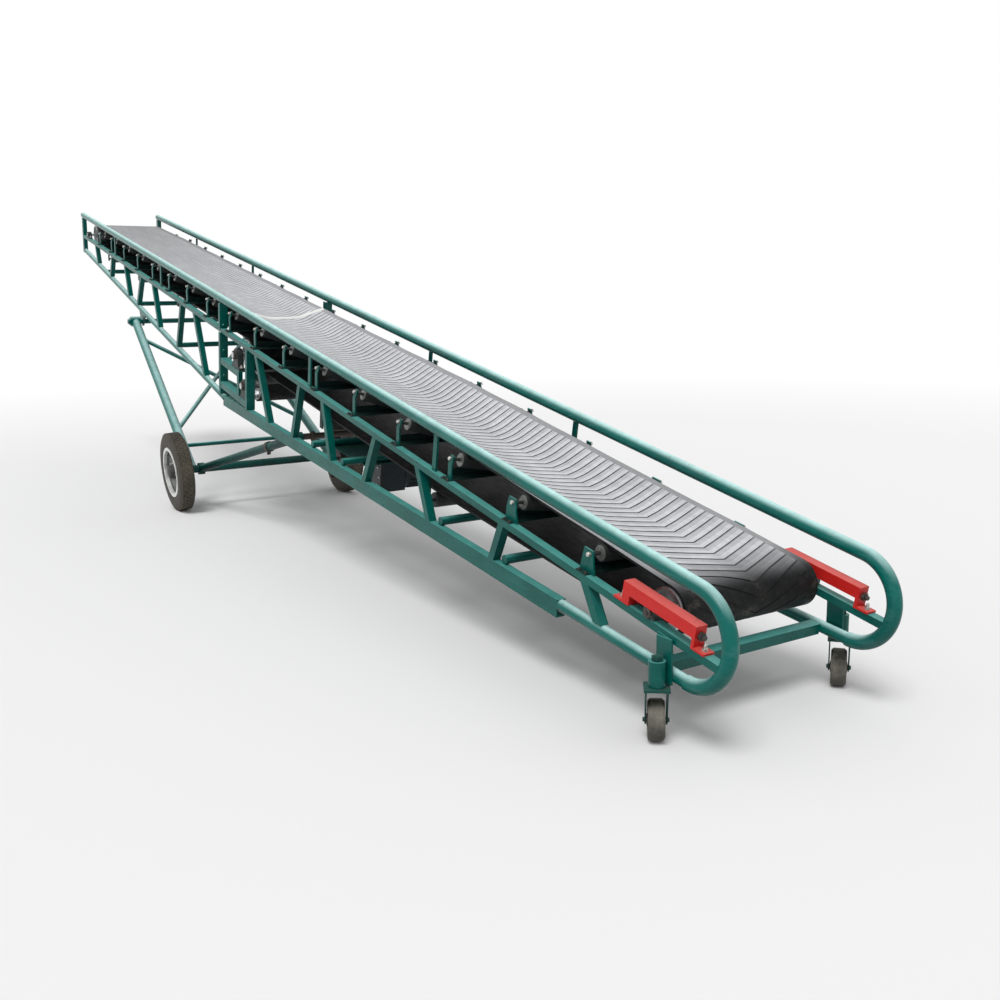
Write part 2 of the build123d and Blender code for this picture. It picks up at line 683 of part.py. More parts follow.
def wing_axis(s, side, reach):
    """Point (y, n) on a wing roller's axis, reach millimetres out from the belt's fold."""
    angle, top_n = belt_at(s)
    a = math.radians(angle)
    drop = BELT_THICK + SEAT + ROLLER_R
    y = TROUGH_FLAT + drop * math.sin(a) + reach * math.cos(a)
    return side * y, top_n - drop * math.cos(a) + reach * math.sin(a)


def station_positions():
    """Place of each idler station along the belt."""
    return [number * STATION_PITCH for number in range(STATIONS)]


def pinned_roller(radius, start, end, pin_start, pin_end):
    """Roller turned with a pin at each end, the pins reaching further out along the same axis."""
    start, end = Vector(*start), Vector(*end)
    length = (end - start).length
    outline = [(0, -pin_start), (ROLLER_PIN_R, -pin_start), (ROLLER_PIN_R, 0), (radius, 0), (radius, length),
               (ROLLER_PIN_R, length), (ROLLER_PIN_R, length + pin_end), (0, length + pin_end)]
    turned = revolve(Plane.XZ * make_face(Polyline(outline, close=True).edges()), axis=Axis.Z)
    return Plane(origin=start, z_dir=(end - start).normalized()).location * turned


def idler_rollers():
    """Three rollers at each station: one level and two wings, their inner pins in the holders."""
    rollers = []
    inner_reach = HOLDER_Y - HOLDER_THICK / 2 - CENTRE_ROLLER_HALF
    for s in station_positions():
        angle, top_n = belt_at(s)
        n = top_n - BELT_THICK - SEAT - ROLLER_R
        rollers.append(pinned_roller(ROLLER_R, (s, -CENTRE_ROLLER_HALF, n), (s, CENTRE_ROLLER_HALF, n),
                                     inner_reach, inner_reach))
        for side in (-1, 1):
            start, end = wing_axis(s, side, WING_START), wing_axis(s, side, WING_START + WING_LENGTH)
            a = math.radians(angle)
            face = HOLDER_Y + HOLDER_THICK / 2 + ROLLER_PIN_R * math.sin(a)
            inner = (abs(start[0]) - face) / math.cos(a)
            rollers.append(pinned_roller(ROLLER_R, (s, *start), (s, *end), inner, WING_PIN_REACH))
    return apart(rollers)


def idler_bases():
    """Steel angle across the rails at each station, its upright leg clear of the rollers."""
    bases = []
    for s in station_positions():
        head_edge = s + ROLLER_R + IDLER_BASE_GAP + IDLER_WALL
        tail_edge = head_edge - IDLER_BASE_WIDTH
        reach = HALF_GAUGE + MID_RAIL_WIDTH / 2
        flat = box((tail_edge, head_edge), (-reach, reach), (RAIL_TOP, RAIL_TOP + IDLER_WALL))
        web = box((head_edge - IDLER_WALL, head_edge), (-IDLER_WEB_REACH, IDLER_WEB_REACH),
                  (RAIL_TOP, RAIL_TOP + IDLER_BASE_HEIGHT))
        bases.append(flat + web)
    return apart(bases)


def tapered_upright(outline, s, foot_n, tip_n):
    """Upright of the first stations, wide at its foot, its head side nearly square to the rail."""
    ys = [y for y, _ in outline]
    taper = side_plate([(s + TAPERED_FOOT[0], foot_n), (s + TAPERED_FOOT[1], foot_n), (s + TAPERED_TIP[1], tip_n),
                        (s + TAPERED_TIP[0], tip_n)], min(ys), max(ys))
    return (cross_plate(outline, s + TAPERED_FOOT[0], s + TAPERED_FOOT[1]) & taper).solid()


def idler_brackets():
    """Bent outer uprights and straight inner holders that take the roller pins."""
    brackets = []
    foot_n = RAIL_TOP + IDLER_WALL
    pin_reach = WING_START + WING_LENGTH + WING_PIN_REACH
    for s in station_positions():
        angle, top_n = belt_at(s)
        a = math.radians(angle)
        for side in (-1, 1):
            y, n = wing_axis(s, 1, pin_reach)
            tip = (y - UPRIGHT_TIP * math.sin(a), n + UPRIGHT_TIP * math.cos(a))
            bend = (y + UPRIGHT_BEND * math.sin(a), n - UPRIGHT_BEND * math.cos(a))
            out = (UPRIGHT_THICK * math.cos(a), UPRIGHT_THICK * math.sin(a))
            foot_y = max(UPRIGHT_Y, bend[0] + UPRIGHT_LEAN) - UPRIGHT_THICK / 2
            outline = [(foot_y + UPRIGHT_THICK, foot_n), (bend[0] + out[0], bend[1] + out[1]),
                       (tip[0] + out[0], tip[1] + out[1]), tip, bend, (foot_y, foot_n)]
            outline = [(side * py, pn) for py, pn in outline]
            if s < TAPERED_STATIONS * STATION_PITCH:
                brackets.append(tapered_upright(outline, s, foot_n, tip[1] + out[1]))
            else:
                brackets.append(cross_plate(outline, s - UPRIGHT_WIDTH / 2, s + UPRIGHT_WIDTH / 2))
            holder_top = top_n - BELT_THICK - SEAT - ROLLER_R + ROLLER_PIN_R + HOLDER_RISE
            inner, outer = HOLDER_Y - HOLDER_THICK / 2, HOLDER_Y + HOLDER_THICK / 2
            brackets.append(box((s - HOLDER_WIDTH / 2, s + HOLDER_WIDTH / 2), sorted((side * inner, side * outer)),
                                (foot_n, holder_top)))
    return apart(brackets)


def return_axis_n(s):
    """Axis height of a return roller, just under the strand that rests on it."""
    if s < BEND_ROLLER[0]:
        (s_low, n_low), (s_high, n_high) = RETURN_TURN, ROLLER_TURN
    else:
        (s_low, n_low) = on_circle(UPPER_DRUM, middle_radius(DRIVE_DRUM_R), UPPER_ENTER)
        (s_high, n_high) = on_circle(HEAD_DRUM, middle_radius(HEAD_DRUM_R), HEAD_LEAVE)
    n = n_low + (n_high - n_low) * (s - s_low) / (s_high - s_low)
    return n - BELT_THICK / 2 - RETURN_GAP - RETURN_ROLLER_R


def return_rollers():
    """Long rollers under the return strand, and the bend roller beside the lower drive drum."""
    rollers = []
    pin = HANGER_Y + HANGER_THICK - RETURN_ROLLER_HALF
    for s in RETURN_ROLLERS:
        n = return_axis_n(s)
        rollers.append(pinned_roller(RETURN_ROLLER_R, (s, -RETURN_ROLLER_HALF, n), (s, RETURN_ROLLER_HALF, n), pin, pin))
    s, n = BEND_ROLLER
    bend_pin = HALF_GAUGE - DRIVE_POST_WIDTH / 2 - HANGER_THICK - RETURN_ROLLER_HALF
    rollers.append(pinned_roller(BEND_ROLLER_R, (s, -RETURN_ROLLER_HALF, n), (s, RETURN_ROLLER_HALF, n), bend_pin, bend_pin))
    return apart(rollers)


def return_hangers():
    """Flat hangers for the return rollers, and side plates that carry the bend roller on the drive posts."""
    hangers = []
    for side in (-1, 1):
        for s in RETURN_ROLLERS:
            n = return_axis_n(s)
            inner, outer = side * HANGER_Y, side * (HANGER_Y + HANGER_THICK)
            hangers.append(box((s - HANGER_WIDTH / 2, s + HANGER_WIDTH / 2), sorted((inner, outer)),
                               (n - HANGER_WIDTH / 2, RAIL_TOP)) - cross_rod(ROLLER_PIN_R, s, n, inner - side, outer + side))
        s, n = BEND_ROLLER
        inner = side * (HALF_GAUGE - DRIVE_POST_WIDTH / 2 - HANGER_THICK)
        outer = side * (HALF_GAUGE - DRIVE_POST_WIDTH / 2)
        hangers.append(box((s - HANGER_WIDTH / 2, DRIVE_POSTS[1] + DRIVE_POST_FLANGE / 2), sorted((inner, outer)),
                           (n - HANGER_WIDTH / 2, n + HANGER_WIDTH / 2)))
    return apart(hangers)


# Drums and their bearings
def drum(centre, radius, shaft_r, shaft_half):
    """Drum with recessed end discs on a through shaft."""
    half, disc, bore_r = DRUM_HALF, DRUM_HALF - DRUM_RECESS, radius - DRUM_SHELL
    upper = [(shaft_r, shaft_half), (shaft_r, disc), (bore_r, disc), (bore_r, half), (radius, half)]
    outline = [(0, shaft_half)] + upper + [(r, -y) for r, y in reversed(upper)] + [(0, -shaft_half)]
    turned = revolve(Plane.XZ * make_face(Polyline(outline, close=True).edges()), axis=Axis.Z)
    return Plane(origin=(centre[0], 0, centre[1]), z_dir=(0, 1, 0)).location * turned


def pillow_block(centre, y, base_n, length, width, foot, body_r, bore_r):
    """Bearing housing: a foot, a round body round the shaft, and a web between them."""
    s, n = centre
    low, high = y - width / 2, y + width / 2
    foot_box = box((s - length / 2, s + length / 2), (low, high), (base_n, base_n + foot))
    wide, narrow = length * BLOCK_WEB_SHARE, body_r * BLOCK_NECK_SHARE
    web = side_plate([(s - wide, base_n), (s + wide, base_n), (s + narrow, n), (s - narrow, n)], low, high)
    return foot_box + web + cross_rod(body_r, s, n, low, high) - cross_rod(bore_r, s, n, low - OVER, high + OVER)


def drive_drums():
    """Upper and lower drive drum; the lower shaft has a stub on the right that takes the drive."""
    upper, lower = [drum(centre, DRIVE_DRUM_R, DRIVE_SHAFT_R, DRIVE_SHAFT_HALF) for centre in (UPPER_DRUM, LOWER_DRUM)]
    stub = cross_rod(DRIVE_STUB_R, *LOWER_DRUM, -DRIVE_SHAFT_HALF - DRIVE_SHAFT_STUB, -DRIVE_SHAFT_HALF)
    return apart([upper, lower + stub])


def pillow_blocks():
    """Four large housings at the drive station, and two small ones on the rails for the head drum."""
    blocks = []
    for side in (-1, 1):
        y = side * HALF_GAUGE
        for centre in (UPPER_DRUM, LOWER_DRUM):
            blocks.append(pillow_block(centre, y, centre[1] - BLOCK_HEIGHT, BLOCK_LENGTH, BLOCK_WIDTH, BLOCK_FOOT,
                                       BLOCK_BODY_R, DRIVE_SHAFT_R + SEAT))
        blocks.append(pillow_block(HEAD_DRUM, y, RAIL_TOP, HEAD_BLOCK_LENGTH, HEAD_BLOCK_WIDTH, HEAD_BLOCK_FOOT,
                                   HEAD_DRUM[1] - RAIL_TOP - HEAD_BLOCK_RISE, DRUM_SHAFT_R + SEAT))
    return apart(blocks)


def bearing_shelves(side):
    """Steel angle shelves between the drive posts, and the short post under the upper one."""
    y = side * HALF_GAUGE
    reach = BLOCK_WIDTH / 2 + SHELF_EDGE
    inner, outer = y - side * reach, y + side * reach
    upper_top, lower_top = UPPER_DRUM[1] - BLOCK_HEIGHT, LOWER_DRUM[1] - BLOCK_HEIGHT
    tail_limit, head_limit = DRIVE_POSTS[1] + DRIVE_POST_FLANGE / 2, DRIVE_POSTS[0] - DRIVE_POST_FLANGE / 2
    upper_tail = UPPER_DRUM[0] - BLOCK_LENGTH / 2 - SHELF_END
    pieces = []
    for tail_end, top in ((upper_tail, upper_top), (tail_limit, lower_top)):
        pieces.append(box((tail_end, head_limit), sorted((inner, outer)), (top - SHELF_WALL, top)))
        pieces.append(box((tail_end, head_limit), sorted((outer, outer - side * SHELF_WALL)), (top - SHELF_LEG, top - SHELF_WALL)))
    pieces.append(box((upper_tail, upper_tail + SHELF_POST_WIDTH), sorted((outer, outer - side * SHELF_POST_DEPTH)),
                      (lower_top, upper_top - SHELF_WALL)))
    return joined(pieces)


# Take-up units
def takeup_frame(side):
    """Box frame on the rail: a channel beam open below, a leg, an end plate and two feet."""
    y = side * TAKEUP_Y
    low, high = y - TAKEUP_WIDTH / 2, y + TAKEUP_WIDTH / 2
    tail, head = TAKEUP_ENDS
    wall, inner = TAKEUP_WALL, TAKEUP_ENDS[0] + TAKEUP_PLATE
    foot_top = RAIL_TOP + TAKEUP_FOOT_THICK
    beam = box((tail, head), (low, high), (TAKEUP_BOTTOM_N, TAKEUP_TOP_N))
    beam -= box((inner, head - TAKEUP_LEG), (low + wall, high - wall), (TAKEUP_BOTTOM_N - OVER, TAKEUP_TOP_N - wall))
    leg = box((head - TAKEUP_LEG, head), (low, high), (RAIL_TOP, TAKEUP_BOTTOM_N))
    plate = box((tail, inner), (low, high), (RAIL_TOP, TAKEUP_BOTTOM_N))
    feet = [box((tail - TAKEUP_FOOT, inner), (low, high), (RAIL_TOP, foot_top)),
            box((head - TAKEUP_LEG, head + TAKEUP_HEAD_FOOT), (low, high), (RAIL_TOP, foot_top))]
    bore = rod(SCREW_R + SEAT, (tail - OVER, y, SCREW_N), (inner + OVER, y, SCREW_N))
    return joined([beam, leg, plate] + feet) - bore


def takeup_bearings():
    """Sliding blocks for the tail drum's shaft, each with a tongue inside its frame's channel."""
    blocks = []
    s, n = TAIL_DRUM
    half = TONGUE_LENGTH / 2
    outer_reach = HALF_GAUGE - TAIL_BLOCK_INSET
    inner_reach = outer_reach - TAIL_BLOCK_WIDTH
    shaft_end = HALF_GAUGE - TAIL_SHAFT_INSET
    for side in (-1, 1):
        inner_y, outer_y = side * inner_reach, side * outer_reach
        block = box((s - half, s + half), sorted((inner_y, outer_y)), (n - TAIL_BLOCK_HEIGHT / 2, n + TAIL_BLOCK_HEIGHT / 2))
        tongue_low, tongue_high = side * (TAKEUP_Y - TONGUE_WIDTH / 2), side * (TAKEUP_Y + TONGUE_WIDTH / 2)
        neck = box((s - half, s + half), sorted((outer_y, tongue_low)), (RAIL_TOP + TONGUE_GAP, TAKEUP_BOTTOM_N - TONGUE_GAP))
        tongue = box((s - half, s + half), sorted((tongue_low, tongue_high)), (RAIL_TOP + SEAT, TAKEUP_TOP_N - TAKEUP_WALL - SEAT))
        blocks.append(block + neck + tongue - cross_rod(DRUM_SHAFT_R + SEAT, s, n, side * (inner_reach - OVER),
                                                        side * (shaft_end + SHAFT_END_GAP)))
    return apart(blocks)


def takeup_screws():
    """Adjusting screws with their nuts outside the end plates."""
    screws = []
    s = TAIL_DRUM[0] - TONGUE_LENGTH / 2
    tail = TAKEUP_ENDS[0]
    for side in (-1, 1):
        y = side * TAKEUP_Y
        screw = rod(SCREW_R, (tail - SCREW_END, y, SCREW_N), (s - SEAT, y, SCREW_N))
        nut = Plane(origin=(tail - SCREW_NUT, y, SCREW_N), x_dir=(0, 1, 0), z_dir=(1, 0, 0)) * hexagon(SCREW_NUT_R)
        screws.append(screw + extrude(nut, amount=SCREW_NUT - SEAT))
    return apart(screws)


# Undercarriage
def on_leg(s, side=1):
    """Point on a leg's axis at a place along the machine."""
    share = (s - AXLE_S) / (PIVOT_S - AXLE_S)
    return s, side * (LEG_Y_AXLE + share * (LEG_Y_TOP - LEG_Y_AXLE)), AXLE_N + share * (PIVOT_N - AXLE_N)


def leg_tube(side):
    """Plain tube of one leg, from the axle to the pivot shaft."""
    return rod(LEG_R, on_leg(AXLE_S, side), on_leg(PIVOT_S, side))


def leg(side):
    """Leg tube with the eye that turns on the pivot shaft, saddled onto the axle beam."""
    low, high = sorted((side * (LEG_Y_TOP - PIVOT_EYE_WIDTH / 2), side * (LEG_Y_TOP + PIVOT_EYE_WIDTH / 2)))
    eye = cross_rod(PIVOT_EYE_R, PIVOT_S, PIVOT_N, low, high)
    bore = cross_rod(PIVOT_SHAFT_R + RUNNING_GAP, PIVOT_S, PIVOT_N, low - TRIM, high + TRIM)
    axle = cross_rod(AXLE_R, AXLE_S, AXLE_N, 0, side * WHEEL_Y)
    return max((leg_tube(side) + eye - bore - axle).solids(), key=lambda solid: solid.volume)


def axle_beam():
    """Axle beam between the road wheels, with its cambered stub axles."""
    beam = cross_rod(AXLE_R, AXLE_S, AXLE_N, -AXLE_HALF, AXLE_HALF)
    for side in (-1, 1):
        root = wheel_point(side, -STUB_AXLE - SPINDLE_LAP)
        beam += rod(SPINDLE_R, root, wheel_point(side, HUB_LENGTH / 2 - SPINDLE_INSET))
    return beam


def leg_cross_bar():
    """Straight bar between the legs, behind the axle."""
    low, high = on_leg(CROSS_BAR_S, -1), on_leg(CROSS_BAR_S, 1)
    return (rod(CROSS_BAR_R, low, high) - leg_tube(-1) - leg_tube(1)).solid()


def leg_brace(side):
    """Diagonal from one leg's upper end to the other's lower end."""
    return (rod(BRACE_R, on_leg(BRACE_TOP_S, side), on_leg(BRACE_LOW_S, -side)) - leg_tube(-1) - leg_tube(1)).solid()


def split_brace():
    """The second diagonal, in two halves against the first."""
    first = rod(BRACE_R, on_leg(BRACE_TOP_S, 1), on_leg(BRACE_LOW_S, -1))
    return apart([leg_brace(-1) - first])


def pivot_shaft():
    """Shaft across the machine on which both legs swing, with a collar outside each leg."""
    collar = LEG_Y_TOP + PIVOT_EYE_WIDTH / 2 + COLLAR_GAP
    reach = collar + COLLAR_THICK + PIVOT_SHAFT_END
    shaft = cross_rod(PIVOT_SHAFT_R, PIVOT_S, PIVOT_N, -reach, reach)
    for side in (-1, 1):
        shaft += cross_rod(PIVOT_SHAFT_R + COLLAR_RISE, PIVOT_S, PIVOT_N, side * collar, side * (collar + COLLAR_THICK))
    return shaft


def pivot_plates():
    """Gusset plates under the lower chords, bored for the pivot shaft."""
    plates = []
    for side in (-1, 1):
        y = side * HALF_GAUGE
        low, high = y - PLATE_THICK / 2, y + PLATE_THICK / 2
        tail, head = PIVOT_S - PLATE_BASE / 2, PIVOT_S + PLATE_BASE / 2
        plate = side_plate([(tail, chord_n(tail)), (head, chord_n(head)), (PIVOT_S + PLATE_TIP_R, PIVOT_N),
                            (PIVOT_S - PLATE_TIP_R, PIVOT_N)], low, high)
        plate += cross_rod(PLATE_TIP_R, PIVOT_S, PIVOT_N, low, high)
        plate -= rod(CHORD_R, (tail - TRIM, y, chord_n(tail - TRIM)), (head + TRIM, y, chord_n(head + TRIM)))
        plate -= cross_rod(PIVOT_SHAFT_R, PIVOT_S, PIVOT_N, low - OVER, high + OVER)
        plates.append(max(plate.solids(), key=lambda solid: solid.volume))
    return apart(plates)


TROLLEY_N = slide_n(TROLLEY_S)


def strut(side):
    """Strut from the axle beam to the trolley shaft, with an eye at each end."""
    low_y, high_y = side * STRUT_Y_AXLE, side * STRUT_Y_TROLLEY
    half = STRUT_EYE_WIDTH / 2
    eye_low = cross_rod(STRUT_EYE_R, AXLE_S, AXLE_N, low_y - half, low_y + half)
    eye_high = cross_rod(TROLLEY_SHAFT_R + TROLLEY_EYE_RISE, TROLLEY_S, TROLLEY_N, high_y - half, high_y + half)
    made = rod(STRUT_R, (AXLE_S, low_y, AXLE_N), (TROLLEY_S, high_y, TROLLEY_N)) + eye_low + eye_high
    made -= cross_rod(AXLE_R + RUNNING_GAP, AXLE_S, AXLE_N, low_y - TRIM, low_y + TRIM)
    made -= cross_rod(TROLLEY_SHAFT_R, TROLLEY_S, TROLLEY_N, high_y - TRIM, high_y + TRIM)
    return max(made.solids(), key=lambda solid: solid.volume)


def trolley_shaft():
    """Shaft across the trolley with its two rollers in the slide channels and two collars."""
    reach = HALF_GAUGE + SLIDE_WIDTH / 2 - SLIDE_WALL - TROLLEY_END_GAP
    collar_in, collar_out = TROLLEY_COLLAR_Y
    shaft = cross_rod(TROLLEY_SHAFT_R, TROLLEY_S, TROLLEY_N, -reach, reach)
    for side in (-1, 1):
        roller_y = side * (HALF_GAUGE - SLIDE_WIDTH / 2 + TROLLEY_SIDE_GAP)
        shaft += cross_rod(TROLLEY_ROLLER_R, TROLLEY_S, TROLLEY_N, roller_y, side * reach)
        shaft += cross_rod(TROLLEY_SHAFT_R + COLLAR_RISE, TROLLEY_S, TROLLEY_N, side * collar_in, side * collar_out)
    return shaft


# Road wheels
def wheel_centre_z():
    """Height of a road wheel's middle above the floor."""
    return AXLE_Z - STUB_AXLE * math.tan(CAMBER)


def wheel_point(side, out):
    """Point of the machine on a road wheel's axis, out from the middle of the wheel."""
    z = wheel_centre_z() - out * math.sin(CAMBER)
    s, n = to_machine(AXLE_X, z)
    return s, side * (WHEEL_Y + out * math.cos(CAMBER)), n


def on_wheel_axis(side, turned):
    """Place a body turned about Z, its Z outwards, on a road wheel's axis."""
    start, end = Vector(*wheel_point(side, 0)), Vector(*wheel_point(side, HUB_LENGTH))
    return Plane(origin=start, x_dir=(COS_I, 0, -SIN_I), z_dir=(end - start).normalized()).location * turned


def tyre(side):
    """Tyre with a rounded wall and a flat tread, seated on its rim."""
    half = TYRE_WIDTH / 2
    seat_r = RIM_R + RIM_SEAT
    bead, bulge = (seat_r, half - TYRE_BEAD), (seat_r + TYRE_WALL_RISE, half)
    shoulder, tread = (TYRE_R - SHOULDER_DROP, half - SHOULDER_INSET), (TYRE_R, TREAD_HALF)
    low_bead, low_bulge, low_shoulder, low_tread = [(r, -out) for r, out in (bead, bulge, shoulder, tread)]
    outline = [ThreePointArc(bead, bulge, shoulder), Line(shoulder, tread), Line(tread, low_tread),
               Line(low_tread, low_shoulder), ThreePointArc(low_shoulder, low_bulge, low_bead), Line(low_bead, bead)]
    face = make_face([piece.edge() for piece in outline])
    return on_wheel_axis(side, revolve(Plane.XZ * face, axis=Axis.Z))


def rim(side):
    """Steel rim: band with two lips, dished disc and a hub bored for the stub axle."""
    half = TYRE_WIDTH / 2
    band_r, lip_r, bend_r = RIM_R + RIM_SEAT - SEAT, RIM_R + RIM_LIP_RISE, RIM_R * DISC_BEND_SHARE
    lip_in, lip_out = half - RIM_LIP_INNER, half - RIM_LIP_OUTER
    disc_low, disc_high = DISC_RIM_OUT, DISC_RIM_OUT + DISC_THICK
    bore, end = SPINDLE_R + RUNNING_GAP, HUB_LENGTH / 2
    outline = [(bore, -end), (HUB_R, -end), (HUB_R, DISC_HUB_OUT), (bend_r, disc_low), (RIM_R, disc_low), (RIM_R, -lip_out),
               (lip_r, -lip_out), (lip_r, -lip_in), (band_r, -lip_in), (band_r, lip_in), (lip_r, lip_in), (lip_r, lip_out),
               (RIM_R, lip_out), (RIM_R, disc_high), (bend_r, disc_high), (HUB_R, DISC_HUB_OUT + DISC_THICK), (HUB_R, end),
               (bore, end)]
    return on_wheel_axis(side, revolve(Plane.XZ * make_face(Polyline(outline, close=True).edges()), axis=Axis.Z))


# Tail casters, drawn upright in floor coordinates
def caster_mount(side):
    """Plate on the outside of the truss with the upright sleeve that the caster's pin turns in."""
    low_z = CASTER_CROWN_Z + SLEEVE_GAP
    plate_in, plate_out = side * (HALF_GAUGE + CHORD_R), side * (HALF_GAUGE + CHORD_R + MOUNT_THICK)
    plate = box((CASTER_X - MOUNT_HALF, CASTER_X + MOUNT_HALF), sorted((plate_in, plate_out)),
                (low_z + MOUNT_RISE, to_floor(CASTER_X, RAIL_BOTTOM + MOUNT_LAP)[1]))
    packing = tilted(box((CASTER_X - PACKING_HALF, CASTER_X + PACKING_HALF),
                         sorted((plate_in, side * (HALF_GAUGE + MID_RAIL_WIDTH / 2))),
                         (RAIL_BOTTOM, RAIL_BOTTOM + PACKING_HEIGHT)))
    middle = Pos(CASTER_X, side * CASTER_Y, low_z + SLEEVE_HEIGHT / 2)
    sleeve = middle * Cylinder(SLEEVE_R, SLEEVE_HEIGHT)
    bore = middle * Cylinder(SWIVEL_PIN_R + RUNNING_GAP, SLEEVE_HEIGHT + 2 * OVER)
    return plate + packing + sleeve - bore


def tilted(shape):
    """Turn a shape of the machine to the parking angle, above the floor."""
    return Location((0, 0, ORIGIN_HEIGHT), (0, -INCLINE, 0)) * shape


def caster_frame(side):
    """Directions of a caster at rest: unit vectors along its trail and its wheel axis."""
    yaw = math.radians(CASTER_YAW[0] if side > 0 else CASTER_YAW[1])
    return (-math.cos(yaw), math.sin(yaw)), (-math.sin(yaw), -math.cos(yaw))


def caster_axle(side):
    """Middle of a caster wheel, in floor coordinates."""
    trail, _ = caster_frame(side)
    return CASTER_X + CASTER_TRAIL * trail[0], side * CASTER_Y + CASTER_TRAIL * trail[1], CASTER_WHEEL_R


def caster_plane(side):
    """Frame of a caster fork: x along the trail, z up, origin on the swivel axis at the floor."""
    trail, _ = caster_frame(side)
    return Plane(origin=(CASTER_X, side * CASTER_Y, 0), x_dir=(trail[0], trail[1], 0), z_dir=(0, 0, 1))


def caster_fork(side):
    """Fork with its top plate, the swivel pin and nut above, and the wheel's axle below."""
    half = CASTER_PLATE / 2
    gap = CASTER_WHEEL_WIDTH / 2 + CHEEK_GAP
    pieces = [box((-half, half), (-half, half), (CASTER_TOP_Z, CASTER_CROWN_Z))]
    for way in (-1, 1):
        low, high = sorted((way * gap, way * (gap + CHEEK_THICK)))
        outline = [(CHEEK_TOP[0], CASTER_TOP_Z), (CHEEK_TOP[1], CASTER_TOP_Z), (CASTER_TRAIL + CHEEK_R, CASTER_WHEEL_R),
                   (CASTER_TRAIL - CHEEK_R, CASTER_WHEEL_R)]
        pieces.append(side_plate(outline, low, high) + cross_rod(CHEEK_R, CASTER_TRAIL, CASTER_WHEEL_R, low, high))
    reach = gap + CASTER_AXLE_END
    pieces.append(cross_rod(CASTER_AXLE_R, CASTER_TRAIL, CASTER_WHEEL_R, -reach, reach))
    pin_top = CASTER_CROWN_Z + SLEEVE_GAP + SLEEVE_HEIGHT + SWIVEL_PIN_END
    pieces.append(rod(SWIVEL_PIN_R, (0, 0, CASTER_CROWN_Z), (0, 0, pin_top)))
    pieces.append(extrude(Plane(origin=(0, 0, pin_top - SWIVEL_NUT_DROP)) * hexagon(SWIVEL_NUT_R), amount=SWIVEL_NUT))
    return caster_plane(side).location * joined(pieces)


def caster_wheel(side):
    """Solid caster wheel with a rounded tread and a longer hub."""
    half, r = CASTER_WHEEL_WIDTH / 2, CASTER_WHEEL_R
    hub_end, web, edge = half + CASTER_HUB_END, half - CASTER_RECESS, half - CASTER_TREAD_INSET
    upper = [(CASTER_AXLE_R + RUNNING_GAP, hub_end), (CASTER_HUB_R, hub_end), (CASTER_HUB_R, web), (CASTER_RECESS_R[0], web),
             (CASTER_RECESS_R[1], half), (r - CASTER_TREAD_DROP, half), (r, edge)]
    outline = [(radius, -out) for radius, out in upper] + upper[::-1]
    turned = revolve(Plane.XZ * make_face(Polyline(outline, close=True).edges()), axis=Axis.Z)
    upright = Plane(origin=(CASTER_TRAIL, 0, CASTER_WHEEL_R), z_dir=(0, 1, 0)).location * turned
    return caster_plane(side).location * upright


# Motor and winch under the platform
def platform_n(s):
    """Underside of the cross tubes that the platform hangs from."""
    return chord_top(s)


def platform():
    """Plate under two cross tubes, from which the motor and the winch hang."""
    tail, head = PLATFORM
    half = PLATFORM_THICK / 2
    return bar(Rectangle(PLATFORM_WIDTH, PLATFORM_THICK), (tail, 0, platform_n(tail) - half), (head, 0, platform_n(head) - half))


def above_platform(s):
    """Solid that fills everything over the platform's underside near s, to trim what hangs from it."""
    low, high, rise = s - 2 * TRIM, s + 2 * TRIM, TRIM - PLATFORM_THICK
    return bar(Rectangle(4 * TRIM, 2 * TRIM), (low, 0, platform_n(low) + rise), (high, 0, platform_n(high) + rise))


def drive_motor():
    """Motor and gearbox block under the platform, each on its foot."""
    n, top = platform_n(MOTOR_S) - PLATFORM_THICK - MOTOR_R - MOTOR_GAP, platform_n(MOTOR_S) + PLATFORM_LAP
    motor = cross_rod(MOTOR_R, MOTOR_S, n, MOTOR_Y - MOTOR_LENGTH, MOTOR_Y)
    half = GEARBOX_SIZE / 2
    gearbox = box((MOTOR_S - half, MOTOR_S + half), (MOTOR_Y, MOTOR_Y + GEARBOX_WIDTH), (n - half, n + half))
    length, width = MOTOR_FOOT
    foot = box((MOTOR_S - length / 2, MOTOR_S + length / 2), (MOTOR_Y - width, MOTOR_Y), (n, top))
    length, width = GEARBOX_FOOT
    foot += box((MOTOR_S - length / 2, MOTOR_S + length / 2), (MOTOR_Y - OVER, MOTOR_Y + width), (n, top))
    return max((motor + gearbox + foot - above_platform(MOTOR_S)).solids(), key=lambda solid: solid.volume)


